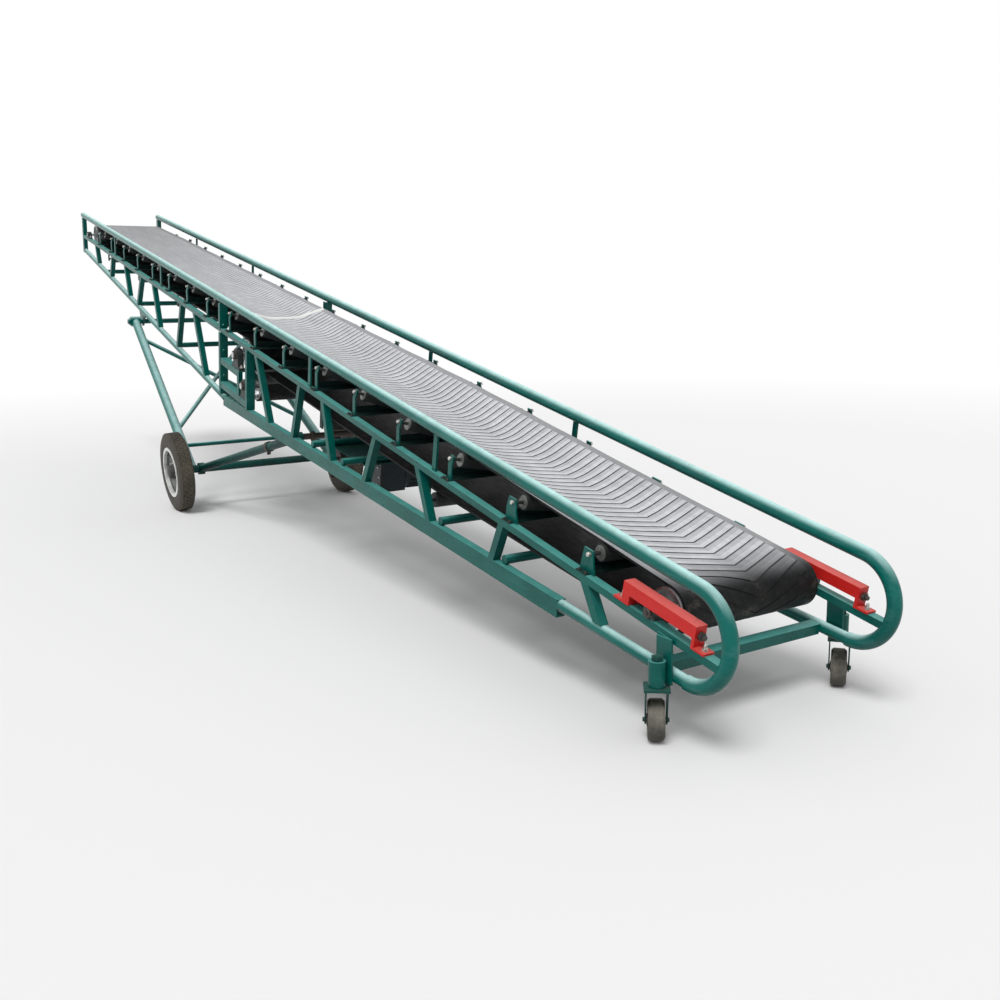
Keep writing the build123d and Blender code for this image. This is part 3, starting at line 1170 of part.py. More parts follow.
def hand_winch():
    """Small hand winch: a drum between two side plates, with a toothed wheel and a crank."""
    s, y = WINCH_S, WINCH_Y
    n, top = platform_n(s) - PLATFORM_THICK - WINCH_PLATE_R - WINCH_GAP, platform_n(s) + PLATFORM_LAP
    half = WINCH_WIDTH / 2
    edge = y + half
    pieces = [cross_rod(WINCH_DRUM_R, s, n, y - half, edge),
              cross_rod(WINCH_AXLE_R, s, n, y - half - WINCH_AXLE_ENDS[0], edge + WINCH_AXLE_ENDS[1])]
    for way in (-1, 1):
        low, high = sorted((y + way * half, y + way * (half + WINCH_SIDE_THICK)))
        outline = [(s - WINCH_SIDE_TOP, top), (s + WINCH_SIDE_TOP, top), (s + WINCH_SIDE_R, n), (s - WINCH_SIDE_R, n)]
        pieces.append(side_plate(outline, low, high) + cross_rod(WINCH_SIDE_R, s, n, low, high))
    gear = edge + WINCH_SIDE_THICK
    pieces.append(cross_rod(WINCH_GEAR_R, s, n, gear, gear + WINCH_GEAR_THICK))
    crank_s, crank_n = s - CRANK_REACH[0], n - CRANK_REACH[1]
    pieces.append(rod(CRANK_R, (s, edge + CRANK_OUT, n), (crank_s, edge + CRANK_OUT, crank_n)))
    pieces.append(cross_rod(HANDLE_R, crank_s, crank_n, edge + HANDLE_ENDS[0], edge + HANDLE_ENDS[1]))
    return max((joined(pieces) - above_platform(s)).solids(), key=lambda solid: solid.volume)


# Every sub-part: first those drawn along the machine, then those drawn on the floor
MACHINE_PARTS = {
    "middle_rails": lambda: both(middle_rail),
    "top_rails": lambda: both(top_rail),
    "tail_bends": lambda: both(tail_bend),
    "lower_chords": lambda: both(lower_chord),
    "slide_channels": lambda: both(slide_channel),
    "web_angles": lambda: both(web_angles),
    "posts": lambda: apart([both(upper_posts), both(drive_posts), both(head_post)]),
    "cross_tubes": cross_tubes,
    "idler_bases": idler_bases,
    "idler_brackets": idler_brackets,
    "idler_rollers": idler_rollers,
    "return_rollers": return_rollers,
    "return_hangers": return_hangers,
    "belt_carry": belt_carry,
    "belt_end_wraps": belt_end_wraps,
    "belt_head_return": belt_head_return,
    "belt_drive_wrap": belt_drive_wrap,
    "belt_tail_return": belt_tail_return,
    "tail_drum": lambda: drum(TAIL_DRUM, TAIL_DRUM_R, DRUM_SHAFT_R, HALF_GAUGE - TAIL_SHAFT_INSET),
    "head_drum": lambda: drum(HEAD_DRUM, HEAD_DRUM_R, DRUM_SHAFT_R, HALF_GAUGE + HEAD_SHAFT_REACH),
    "drive_drums": drive_drums,
    "pillow_blocks": pillow_blocks,
    "bearing_shelves": lambda: both(bearing_shelves),
    "takeup_frames": lambda: both(takeup_frame),
    "takeup_bearings": takeup_bearings,
    "takeup_screws": takeup_screws,
    "pivot_shaft": pivot_shaft,
    "pivot_plates": pivot_plates,
    "platform": platform,
    "drive_motor": drive_motor,
    "hand_winch": hand_winch,
    "legs": lambda: both(leg),
    "axle_beam": axle_beam,
    "leg_cross_bar": leg_cross_bar,
    "leg_brace": lambda: leg_brace(1),
    "leg_brace_halves": split_brace,
    "struts": lambda: both(strut),
    "trolley_shaft": trolley_shaft,
    "tyre_left": lambda: tyre(1),
    "tyre_right": lambda: tyre(-1),
    "rim_left": lambda: rim(1),
    "rim_right": lambda: rim(-1),
}
FLOOR_PARTS = {
    "caster_mounts": lambda: both(caster_mount),
    "caster_fork_left": lambda: caster_fork(1),
    "caster_fork_right": lambda: caster_fork(-1),
    "caster_wheel_left": lambda: caster_wheel(1),
    "caster_wheel_right": lambda: caster_wheel(-1),
}

PARTS = {name: tilted(make()) for name, make in MACHINE_PARTS.items()}
PARTS.update({name: make() for name, make in FLOOR_PARTS.items()})

# The origin goes to the middle of the whole machine's bounding box, at its lowest point
boxes = [part.bounding_box() for part in PARTS.values()]
low = [min(getattr(each.min, axis) for each in boxes) for axis in ("X", "Y", "Z")]
high = [max(getattr(each.max, axis) for each in boxes) for axis in ("X", "Y", "Z")]
ORIGIN = ((low[0] + high[0]) / 2, (low[1] + high[1]) / 2, low[2])
for name, part in PARTS.items():
    export_step(Pos(-ORIGIN[0], -ORIGIN[1], -ORIGIN[2]) * part, f"parts/{name}.step")
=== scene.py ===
"""Looks of the portable belt conveyor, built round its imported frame.

The scene is in metres. Sizes that match the CAD are in millimetres.
"""
import json
import math
import random

import bmesh
import bpy
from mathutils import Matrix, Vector


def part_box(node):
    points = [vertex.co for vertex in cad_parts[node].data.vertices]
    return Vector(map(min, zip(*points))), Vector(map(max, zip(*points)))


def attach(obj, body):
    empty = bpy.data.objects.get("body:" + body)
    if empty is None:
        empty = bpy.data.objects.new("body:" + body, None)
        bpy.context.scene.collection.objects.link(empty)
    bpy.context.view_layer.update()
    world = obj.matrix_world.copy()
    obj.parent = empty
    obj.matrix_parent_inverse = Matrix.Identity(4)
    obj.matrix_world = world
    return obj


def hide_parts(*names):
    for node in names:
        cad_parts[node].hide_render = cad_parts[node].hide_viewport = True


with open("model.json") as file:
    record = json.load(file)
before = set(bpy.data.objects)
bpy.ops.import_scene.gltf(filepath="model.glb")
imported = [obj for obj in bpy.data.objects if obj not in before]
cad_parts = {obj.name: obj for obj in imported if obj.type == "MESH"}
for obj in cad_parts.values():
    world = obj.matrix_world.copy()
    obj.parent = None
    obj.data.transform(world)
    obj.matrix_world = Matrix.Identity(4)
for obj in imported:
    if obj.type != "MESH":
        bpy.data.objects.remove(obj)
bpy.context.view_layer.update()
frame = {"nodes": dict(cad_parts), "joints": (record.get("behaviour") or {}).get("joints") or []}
random.seed(7)

# The machine's own coordinates: s along the belt, y to the left, n square to the belt
INCLINE = math.radians(11.46)
COS_I = math.cos(INCLINE)
SIN_I = math.sin(INCLINE)
ORIGIN_X = 4329.395
ORIGIN_HEIGHT = 495.9
MM = 0.001
SIDES = (1, -1)
AXIS_X, AXIS_Y, AXIS_Z = range(3)

# Sizes that the materials follow too
WHEEL_Y = 700.0
CAMBER = math.radians(3.0)
TYRE_R = 305.0
TREAD_HALF = 44.0
WHEEL_Z = TYRE_R * math.cos(CAMBER) + TREAD_HALF * math.sin(CAMBER)

# Where the rim's lip begins and where it is full, in metres: out from the wheel's middle, and from its axis
RIM_LIP_OUT = (0.029, 0.036)
RIM_LIP_R = (0.09, 0.11)

# Belt's pale cover along X, in metres, which is dust and a painted sheen: from black to pale at the tail,
# then duller from the middle to the head
BELT_DUST_SHEEN_X = (-4.8, -4.58)
BELT_DULL_X = (0.6, 4.6)
BELT_DULL_SHARE = 0.62

# Height over the machine's own line at which the carrying strand begins, in metres
BELT_CARRY_N = (0.03, 0.07)


def at(s, y, n):
    """A point of the machine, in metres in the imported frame."""
    x, z = s * COS_I - n * SIN_I - ORIGIN_X, s * SIN_I + n * COS_I + ORIGIN_HEIGHT
    return Vector((x * MM, y * MM, z * MM))


def way(s, y, n):
    """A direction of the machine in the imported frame."""
    return Vector((s * COS_I - n * SIN_I, y, s * SIN_I + n * COS_I)).normalized()


def linear(red, green, blue, alpha=1.0):
    """A colour given as 0 to 255 screen values, as Blender's linear values."""
    values = []
    for value in (red, green, blue):
        level = value / 255
        values.append(level / 12.92 if level <= 0.04045 else ((level + 0.055) / 1.055) ** 2.4)
    return (*values, alpha)


def frame_axle_x():
    """Place of the road wheels along X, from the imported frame."""
    low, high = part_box("tyre_left")
    return (low.x + high.x) / 2


# Materials; the sockets of a mix of two colours
MIX_FACTOR, MIX_FIRST, MIX_SECOND, MIX_RESULT = 0, 6, 7, 2
# Painted shade: the colour that the paint's downward faces are darkened towards.
UNDERSIDE_SHADE = linear(4, 26, 24)
# How far the painted highlight on upward faces is narrowed towards the very tops of tubes.
TOP_HIGHLIGHT_POWER = 1.8


class Shader:
    """A material's node tree with short calls for the nodes used here."""

    def __init__(self, name):
        self.material = bpy.data.materials.new(name)
        self.material.use_nodes = True
        self.tree = self.material.node_tree
        self.nodes = self.tree.nodes
        self.bsdf = self.nodes["Principled BSDF"]
        self.coords = self.nodes.new("ShaderNodeTexCoord")

    def link(self, source, target):
        self.tree.links.new(source, target)

    def noise(self, scale, detail=4.0, roughness=0.6, stretch=None):
        """Noise over the piece; stretch scales it along and across the tilted machine."""
        node = self.nodes.new("ShaderNodeTexNoise")
        node.inputs["Scale"].default_value = scale
        node.inputs["Detail"].default_value = detail
        node.inputs["Roughness"].default_value = roughness
        source = self.coords.outputs["Object"]
        if stretch:
            mapping = self.nodes.new("ShaderNodeMapping")
            mapping.inputs["Scale"].default_value = stretch
            mapping.inputs["Rotation"].default_value = (0, INCLINE, 0)
            self.link(source, mapping.inputs["Vector"])
            source = mapping.outputs["Vector"]
        self.link(source, node.inputs["Vector"])
        return node.outputs["Fac"]

    def ramp(self, source, low, high, low_value=0.0, high_value=1.0):
        """A value brought from one range to another, and held at its ends."""
        node = self.nodes.new("ShaderNodeMapRange")
        node.inputs["From Min"].default_value = low
        node.inputs["From Max"].default_value = high
        node.inputs["To Min"].default_value = low_value
        node.inputs["To Max"].default_value = high_value
        self.link(source, node.inputs["Value"])
        return node.outputs["Result"]

    def math(self, operation, first, second):
        """One operation on two values, each a number or a socket."""
        node = self.nodes.new("ShaderNodeMath")
        node.operation = operation
        for value, socket in ((first, node.inputs[0]), (second, node.inputs[1])):
            if isinstance(value, (int, float)):
                socket.default_value = value
            else:
                self.link(value, socket)
        return node.outputs[0]

    def mix(self, factor, first, second):
        """Two colours blended by a factor."""
        node = self.nodes.new("ShaderNodeMix")
        node.data_type = "RGBA"
        for value, index in ((first, MIX_FIRST), (second, MIX_SECOND)):
            if isinstance(value, tuple):
                node.inputs[index].default_value = value
            else:
                self.link(value, node.inputs[index])
        self.link(factor, node.inputs[MIX_FACTOR])
        return node.outputs[MIX_RESULT]

    def vector(self, operation, source, other=None):
        """A vector operation; a dot product or a length gives a number."""
        node = self.nodes.new("ShaderNodeVectorMath")
        node.operation = operation
        self.link(source, node.inputs[0])
        if other:
            node.inputs[1].default_value = other
        return node.outputs["Value" if operation in ("DOT_PRODUCT", "LENGTH") else "Vector"]

    def axis(self, output, index):
        """One part of the piece's coordinates or of its normal."""
        node = self.nodes.new("ShaderNodeSeparateXYZ")
        self.link(self.coords.outputs[output], node.inputs[0])
        return node.outputs[index]

    def bump(self, height, strength, distance):
        node = self.nodes.new("ShaderNodeBump")
        node.inputs["Strength"].default_value = strength
        node.inputs["Distance"].default_value = distance
        self.link(height, node.inputs["Height"])
        self.link(node.outputs["Normal"], self.bsdf.inputs["Normal"])

    def set(self, **values):
        for name, value in values.items():
            self.bsdf.inputs[name.replace("_", " ")].default_value = value

    def finish(self, colour, roughness):
        self.link(colour, self.bsdf.inputs["Base Color"])
        self.link(roughness, self.bsdf.inputs["Roughness"])
        return self.material


def paint(name, base, dark, dust_and_highlight, chip, top_dust_highlight=0.5, chip_amount=0.62, gloss=0.3, sharp=False):
    """Brushed paint: uneven depth, dusty and with a painted highlight where it faces the sky, chipped, with
    painted shade underneath.
    """
    sh = Shader(name)
    tone = sh.ramp(sh.noise(2.6, 5), 0.35, 0.68)
    colour = sh.mix(tone, base, dark)
    streak = sh.ramp(sh.noise(9.0, 6, 0.65, (0.35, 2.5, 2.5)), 0.5, 0.85, 0.0, 0.07)
    colour = sh.mix(streak, colour, dust_and_highlight)
    # Painted highlight, partly settled dust: faces that point up are lightened towards the fourth colour.
    up = sh.ramp(sh.axis("Normal", AXIS_Z), 0.35, 0.98)
    if sharp:
        up = sh.math("POWER", up, TOP_HIGHLIGHT_POWER)
    dust_and_highlight_mask = sh.math("MULTIPLY", up, sh.ramp(sh.noise(14.0, 8, 0.7), 0.3, 0.7, 0.65 * top_dust_highlight, top_dust_highlight))
    colour = sh.mix(dust_and_highlight_mask, colour, dust_and_highlight)
    chips = sh.ramp(sh.noise(55.0, 6, 0.72), chip_amount, chip_amount + 0.03)
    patch = sh.ramp(sh.noise(3.7, 3, 0.5), 0.5, 0.62)
    # Chipped wear: where the chip colour shows through.
    second_tone = sh.math("MULTIPLY", chips, patch)
    colour = sh.mix(second_tone, colour, chip)
    rough = sh.math("ADD", sh.ramp(sh.noise(21.0, 5), 0.3, 0.7, gloss - 0.06, gloss + 0.1),
                    sh.math("MULTIPLY", dust_and_highlight_mask, 0.25))
    # Painted shade: faces that point down are darkened towards the underside colour.
    shade = sh.ramp(sh.axis("Normal", AXIS_Z), -0.95, 0.05, 0.55, 0.0)
    colour = sh.mix(shade, colour, UNDERSIDE_SHADE)
    sh.bump(sh.math("ADD", sh.noise(160.0, 3), sh.math("MULTIPLY", second_tone, -1.2)), 0.16, 0.0006)
    sh.set(Metallic=0.0, Specular_IOR_Level=0.2)
    return sh.finish(colour, rough)


def metal(name, base, stain, metallic, gloss, stain_amount=0.5, brushed=(1, 1, 1)):
    """Bare or plated steel with stains, fine brushing and dust."""
    sh = Shader(name)
    blot = sh.ramp(sh.noise(18.0, 8, 0.7), 0.42, 0.72, 0.0, stain_amount)
    colour = sh.mix(blot, base, stain)
    fine = sh.noise(240.0, 3, 0.5, brushed)
    rough = sh.math("ADD", sh.ramp(fine, 0.3, 0.7, gloss - 0.05, gloss + 0.07),
                    sh.math("MULTIPLY", blot, 0.5))
    sh.bump(fine, 0.12, 0.0004)
    sh.set(Metallic=metallic)
    return sh.finish(colour, rough)


def dusty(name, base, dust_and_highlight, amount, gloss, grain=90.0, depth=0.0008, top_only=True):
    """Rubber or rough casting with dust held in its grain; with top_only, lighter on what faces up and darker
    towards the bottom.
    """
    sh = Shader(name)
    cover = sh.ramp(sh.noise(11.0, 9, 0.72), 0.34, 0.7, 0.15 * amount, amount)
    if top_only:
        cover = sh.math("MULTIPLY", cover, sh.ramp(sh.axis("Normal", AXIS_Z), -0.5, 0.8, 0.25, 1.0))
    colour = sh.mix(cover, base, dust_and_highlight)
    rough = sh.math("ADD", sh.ramp(sh.noise(35.0, 5), 0.3, 0.7, gloss - 0.05, gloss + 0.07),
                    sh.math("MULTIPLY", cover, 0.25))
    sh.bump(sh.noise(grain, 6, 0.65), 0.3, depth)
    sh.set(Metallic=0.0)
    return sh.finish(colour, rough)


def belt_material(name, cover_most):
    """Rubber belt: black where it bends over the tail drum, pale with dust and a painted sheen along the
    carrying strand; on the return strand it stays black, as the belt's clean back and as painted shade.
    """
    sh = Shader(name)
    along = sh.axis("Object", AXIS_X)
    level = sh.vector("DOT_PRODUCT", sh.coords.outputs["Object"], (-SIN_I, 0, COS_I))
    line_n = (ORIGIN_X * SIN_I + ORIGIN_HEIGHT * COS_I) * MM
    carry = sh.math("MULTIPLY", sh.ramp(sh.axis("Normal", AXIS_Z), 0.5, 0.93),
                    sh.ramp(level, *[line_n + n for n in BELT_CARRY_N]))
    rise = sh.math("MULTIPLY", sh.ramp(along, *BELT_DUST_SHEEN_X),
                   sh.ramp(along, *BELT_DULL_X, 1.0, BELT_DULL_SHARE))
    dust_sheen_noise = sh.ramp(sh.noise(5.0, 8, 0.7, (0.25, 2.2, 2.2)), 0.25, 0.75, 0.72 * cover_most, cover_most)
    cover = sh.math("MULTIPLY", sh.math("MULTIPLY", carry, rise), dust_sheen_noise)
    # Dust and painted sheen: the carrying strand's top is laid towards a near-white.
    colour = sh.mix(cover, linear(11, 13, 14), linear(230, 231, 235))
    blots = sh.ramp(sh.noise(12.0, 7, 0.75), 0.56, 0.74, 0.0, 0.22)
    colour = sh.mix(blots, colour, linear(150, 143, 132))
    grime = sh.ramp(sh.noise(30.0, 6, 0.6), 0.4, 0.75, 0.0, 0.16)
    colour = sh.mix(grime, colour, linear(70, 68, 66))
    rough = sh.ramp(sh.noise(25.0, 6, 0.6, (0.3, 3, 3)), 0.3, 0.7, 0.38, 0.56)
    sh.bump(sh.noise(70.0, 7, 0.7), 0.22, 0.0009)
    sh.set(Metallic=0.0, Specular_IOR_Level=0.14)
    return sh.finish(colour, rough)


def rim_paint():
    """Wheel rim: dull grey disc in a bright outer lip, told apart by where it stands."""
    sh = Shader("rim_paint")
    out = sh.math("MULTIPLY", sh.math("ABSOLUTE", sh.axis("Object", AXIS_Y), 0), math.cos(CAMBER))
    down = sh.math("MULTIPLY", sh.axis("Object", AXIS_Z), math.sin(CAMBER))
    reach = sh.math("SUBTRACT", out, down)
    middle_out = (WHEEL_Y * math.cos(CAMBER) - WHEEL_Z * math.sin(CAMBER)) * MM
    lip = sh.ramp(reach, *[middle_out + rise for rise in RIM_LIP_OUT])
    spot = sh.vector("SUBTRACT", sh.coords.outputs["Object"], (frame_axle_x(), 0, WHEEL_Z * MM))
    radius = sh.vector("LENGTH", sh.vector("MULTIPLY", spot, (1, 0, 1)))
    lip = sh.math("MULTIPLY", lip, sh.ramp(radius, *RIM_LIP_R))
    colour = sh.mix(lip, linear(84, 86, 84), linear(232, 234, 232))
    blot = sh.ramp(sh.noise(18.0, 8, 0.7), 0.42, 0.72, 0.0, 0.55)
    colour = sh.mix(blot, colour, linear(84, 80, 74))
    rough = sh.ramp(sh.noise(40.0, 5), 0.3, 0.7, 0.36, 0.52)
    sh.bump(sh.noise(160.0, 3), 0.12, 0.0004)
    sh.set(Metallic=0.3)
    return sh.finish(colour, rough)


RUST = linear(96, 84, 72)
# In each paint the fourth colour goes on upward faces as dust and painted highlight; on the teal it is a
# near-white mint, mostly painted highlight, and weaker on the flats.
TEAL = paint("teal_paint", linear(1, 103, 95), linear(0, 85, 79), linear(212, 255, 252), RUST, 0.95,
             gloss=0.24, sharp=True)
TEAL_FLAT = paint("teal_paint_flats", linear(1, 94, 86), linear(1, 76, 70), linear(124, 212, 204), RUST)
TEAL_DARK = paint("teal_paint_grimy", linear(6, 74, 68), linear(10, 48, 45), linear(84, 132, 122),
                  linear(70, 55, 45), 0.4, 0.58, 0.42)
# Painted shade: the idler bases and return hangers under the belt are given a dark teal for the shade they
# stand in.
SHADED = paint("teal_paint_shaded_under_belt", linear(12, 48, 45), linear(14, 32, 31), linear(52, 84, 78),
               linear(60, 50, 44), 0.3, 0.58, 0.5)
RED = paint("red_paint", linear(206, 36, 32), linear(186, 30, 28), linear(240, 120, 112),
            linear(120, 60, 50), 0.55, 0.6)
STEEL = metal("bare_steel", linear(196, 196, 192), linear(120, 105, 90), 0.9, 0.34)
# Painted shade: the rollers under the belt are given a dark grey for the shade they turn in.
ROLLER_SHADED = metal("roller_steel", linear(58, 60, 60), linear(34, 33, 32), 0.35, 0.45, 0.6, (1, 8, 1))
CAP = metal("roller_caps", linear(150, 152, 148), linear(70, 66, 62), 0.6, 0.4, 0.7)
DRUM = metal("drum_steel", linear(205, 206, 208), linear(96, 92, 88), 0.9, 0.28, 0.45, (1, 6, 1))
CASTING = dusty("cast_housing", linear(22, 38, 37), linear(84, 86, 80), 0.5, 0.5)
MOTOR = paint("motor_paint", linear(44, 52, 56), linear(30, 36, 40), linear(120, 118, 112),
              linear(84, 70, 60))
RUBBER = dusty("tyre_rubber", linear(44, 42, 40), linear(96, 90, 80), 0.6, 0.72, 60.0, 0.0012, False)
TREAD = dusty("tyre_tread", linear(40, 37, 33), linear(98, 90, 76), 0.7, 0.72, 60.0, 0.0012, False)
TREAD_DUST = dusty("tyre_grooves", linear(142, 132, 112), linear(176, 166, 144), 0.9, 0.8, 60.0, 0.0012,
                   False)
RIM = rim_paint()
# The caster wheels are lighter on their tops and darker towards the bottom.
CASTER = dusty("caster_rubber", linear(32, 31, 29), linear(190, 184, 168), 0.6, 0.75, 80.0, 0.001)
BELT = belt_material("belt_ribs", 0.95)
# Painted shade: the second half of each rib gets less of the pale cover, so it shows darker.
BELT_RIB_SHADE = belt_material("belt_rib_shaded_halves", 0.74)
# Painted shade: the grooves get less of the pale cover of dust and painted sheen, so they show darker.
BELT_GROOVE = belt_material("belt_grooves", 0.34)
BELT_MARGIN = belt_material("belt_margin", 0.5)
CHALK = dusty("splice_rubber", linear(240, 240, 238), linear(214, 212, 208), 0.5, 0.6)
DARK = metal("dark_steel", linear(70, 68, 66), linear(104, 78, 56), 0.6, 0.5)
ROPE = metal("wire_rope", linear(120, 118, 112), linear(80, 66, 52), 0.7, 0.45)

NODE_MATERIALS = {
    RED: ["takeup_frames"],
    TEAL_FLAT: ["middle_rails", "slide_channels", "posts", "web_angles", "cross_tubes", "bearing_shelves",
                "pivot_plates", "caster_mounts", "idler_brackets"],
    ROLLER_SHADED: ["idler_rollers", "return_rollers"],
    DRUM: ["tail_drum", "head_drum", "drive_drums"],
    CASTING: ["pillow_blocks", "takeup_bearings"],
    MOTOR: ["drive_motor"],
    DARK: ["hand_winch", "takeup_screws", "trolley_shaft"],
    SHADED: ["idler_bases", "return_hangers"],
    RIM: ["rim_left", "rim_right"],
    CASTER: ["caster_wheel_left", "caster_wheel_right"],
    TEAL_DARK: ["platform", "struts", "axle_beam", "caster_fork_left", "caster_fork_right"],
}
for node in frame["nodes"].values():
    chosen = [material for material, names in NODE_MATERIALS.items() if node.name in names]
    node.data.materials.clear()
    node.data.materials.append(chosen[0] if chosen else TEAL)


# Mesh building; a bolt's washer in millimetres, the rest as shares of the bolt's size
WASHER = 2.0
HEAD_SIZE = 0.88
HEAD_TOP = 0.82
HEAD_HEIGHT = 0.64
HEAD_EDGE = 0.85
STUD_R = 0.48
STUD_TIP_R = 0.38


class Mesh:
    """Collects vertices and faces, then makes one object."""

    def __init__(self):
        self.points = []
        self.faces = []

    def add(self, points, faces):
        base = len(self.points)
        self.points.extend(points)
        self.faces.extend([[base + index for index in face] for face in faces])

    def lathe(self, origin, axis, profile, sides=24, phase=0.0):
        """Turn (radius, height) pairs in millimetres about an axis; a radius of 0 closes the end."""
        axis = axis.normalized()
        across = axis.orthogonal().normalized()
        other = axis.cross(across)
        points, rings = [], []
        for radius, height in profile:
            centre = origin + axis * (height * MM)
            if radius == 0:
                rings.append([len(points)])
                points.append(centre)
                continue
            rings.append(list(range(len(points), len(points) + sides)))
            for number in range(sides):
                turn = phase + 2 * math.pi * number / sides
                points.append(centre + (across * math.cos(turn) + other * math.sin(turn)) * (radius * MM))
        faces = []
        for first, second in zip(rings, rings[1:]):
            for number in range(sides):
                following = (number + 1) % sides
                if len(first) == 1 and len(second) == 1:
                    break
                if len(first) == 1:
                    faces.append([first[0], second[following], second[number]])
                elif len(second) == 1:
                    faces.append([first[number], first[following], second[0]])
                else:
                    faces.append([first[number], first[following], second[following], second[number]])
        self.add(points, faces)

    def block(self, centre, along, across, up, size, chamfer=1.0):
        """Box with chamfered edges; size in millimetres along the three directions."""
        half = [value * MM / 2 for value in size]
        cut = chamfer * MM
        axes = (along.normalized(), across.normalized(), up.normalized())
        work = bmesh.new()
        bmesh.ops.create_cube(work, size=1.0)
        for vertex in work.verts:
            spot = [2 * vertex.co[i] * half[i] for i in range(3)]
            vertex.co = centre + axes[0] * spot[0] + axes[1] * spot[1] + axes[2] * spot[2]
        if cut:
            bmesh.ops.bevel(work, geom=work.edges[:], offset=cut, segments=1, affect="EDGES")
        work.verts.index_update()
        faces = [[vertex.index for vertex in face.verts] for face in work.faces]
        self.add([vertex.co.copy() for vertex in work.verts], faces)
        work.free()

    def bolt(self, origin, axis, size=12.0, washer=True, stud=0.0):
        """Hexagon head on a washer, standing on a surface; a stud end shows past a nut."""
        phase = random.uniform(0, math.pi)
        start = 0.0
        if washer:
            self.lathe(origin, axis, [(size, 0), (size, WASHER), (size * 0.55, WASHER + 0.2)], 20)
            start = WASHER
        across, height = size * HEAD_SIZE, size * HEAD_HEIGHT
        top = start + height
        profile = [(across, start), (across, start + height * HEAD_EDGE), (across * HEAD_TOP, top), (0, top)]
        self.lathe(origin, axis, profile, 6, phase)
        if stud:
            end = top + stud
            profile = [(size * STUD_R, top), (size * STUD_R, end - 1), (size * STUD_TIP_R, end), (0, end)]
            self.lathe(origin, axis, profile, 12)

    def tube(self, path, radius, sides=10):
        """Round bar along points."""
        points, faces = [], []
        for number, spot in enumerate(path):
            before, after = path[max(number - 1, 0)], path[min(number + 1, len(path) - 1)]
            axis = (after - before).normalized()
            across = axis.orthogonal().normalized()
            if number:
                across = (last - axis * last.dot(axis)).normalized()
            last = across
            other = axis.cross(across)
            for side in range(sides):
                turn = 2 * math.pi * side / sides
                points.append(spot + (across * math.cos(turn) + other * math.sin(turn)) * (radius * MM))
        for number in range(len(path) - 1):
            for side in range(sides):
                following = (side + 1) % sides
                low, high = number * sides, (number + 1) * sides
                faces.append([low + side, low + following, high + following, high + side])
        faces.append(list(range(sides))[::-1])
        faces.append([(len(path) - 1) * sides + side for side in range(sides)])
        self.add(points, faces)

    def make(self, name, material, body, smooth=35.0, others=()):
        """One object from everything collected, riding on a body; others holds (material, faces) pairs."""
        data = bpy.data.meshes.new(name)
        data.from_pydata([tuple(point) for point in self.points], [], self.faces)
        work = bmesh.new()
        work.from_mesh(data)
        bmesh.ops.recalc_face_normals(work, faces=work.faces)
        work.to_mesh(data)
        work.free()
        data.polygons.foreach_set("use_smooth", [True] * len(data.polygons))
        data.set_sharp_from_angle(angle=math.radians(smooth))
        data.materials.append(material)
        for slot, (other, chosen_faces) in enumerate(others, 1):
            data.materials.append(other)
            for index in chosen_faces:
                data.polygons[index].material_index = slot
        made = bpy.data.objects.new(name, data)
        bpy.context.scene.collection.objects.link(made)
        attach(made, body)
        return made


# Camera, from the photograph's own perspective
CAMERA_PLACE = (-7.3786, 2.6728, 1.5101)
CAMERA_TURN = (79.2914, 1.0573, -121.8870)
FOCAL_PIXELS = 1014.28
FRAME_PIXELS = 1000
SENSOR_WIDTH = 36.0
CLIP_END = 200
camera_data = bpy.data.cameras.new("camera")
camera_data.sensor_width = SENSOR_WIDTH
camera_data.lens = SENSOR_WIDTH * FOCAL_PIXELS / FRAME_PIXELS
camera_data.clip_end = CLIP_END
camera = bpy.data.objects.new("camera", camera_data)
camera.location = CAMERA_PLACE
camera.rotation_euler = [math.radians(angle) for angle in CAMERA_TURN]
bpy.context.scene.collection.objects.link(camera)
bpy.context.scene.camera = camera


# Belt: one endless chevron belt round all the drums
BELT_HALF = 335.0
BELT_THICK = 10.0
SEAT = 0.3
TROUGH_FLAT = 115.0
FOLD_HALF = 46.0
FLAT_ANGLE = 0.001
MARGIN = 300.0
CHEVRON_PITCH = 58.0
CHEVRON_SWEEP = 0.43
CHEVRON_APEX = -25.0
RIB_ROWS = 4
GROOVE_WIDTH = 9.0
GROOVE_EDGE = 1.5
GROOVE_DEPTH = 3.0
HEAD_GROOVE_DEPTH = 1.4
HALF_COLUMNS = [70, 93, 116, 139, 162, 208, 254, MARGIN, BELT_HALF]
MIDDLE_COLUMNS = [CHEVRON_APEX, 22]
SPLICE_S = 4400.0
SPLICE_PROFILE = ((-20, -1.0), (-16, 6.0), (-8, 11.0), (8, 11.0), (16, 6.0), (20, -1.0))
SPLICE_STEPS = 25
SPLICE_STEP = 13.0
BELT_SECTIONS = [
    (-395.0, 0.0, 117.0), (0.0, 3.0, 115.0), (550.0, 7.0, 106.0), (1100.0, 12.0, 98.0), (1650.0, 16.0, 96.0),
    (2200.0, 18.0, 96.0), (8250.0, 18.0, 96.0), (8800.0, 10.0, 115.0), (9335.0, 0.0, 147.0)]
TAIL_DRUM_R = 85.0
HEAD_DRUM_R = 95.0
DRIVE_DRUM_R = 105.0
BEND_ROLLER_R = 38.0
TAIL_DRUM = (BELT_SECTIONS[0][0], BELT_SECTIONS[0][2] - BELT_THICK - SEAT - TAIL_DRUM_R)
HEAD_DRUM = (BELT_SECTIONS[-1][0], BELT_SECTIONS[-1][2] - BELT_THICK - SEAT - HEAD_DRUM_R)
SPLICE_U = SPLICE_S - TAIL_DRUM[0]
UPPER_DRUM = (4191.0, -112.0)
LOWER_DRUM = (4015.0, -293.0)
BEND_ROLLER = (3846.0, -206.0)
RETURN_TOP_N = -135.0
RETURN_FALL = 12.0
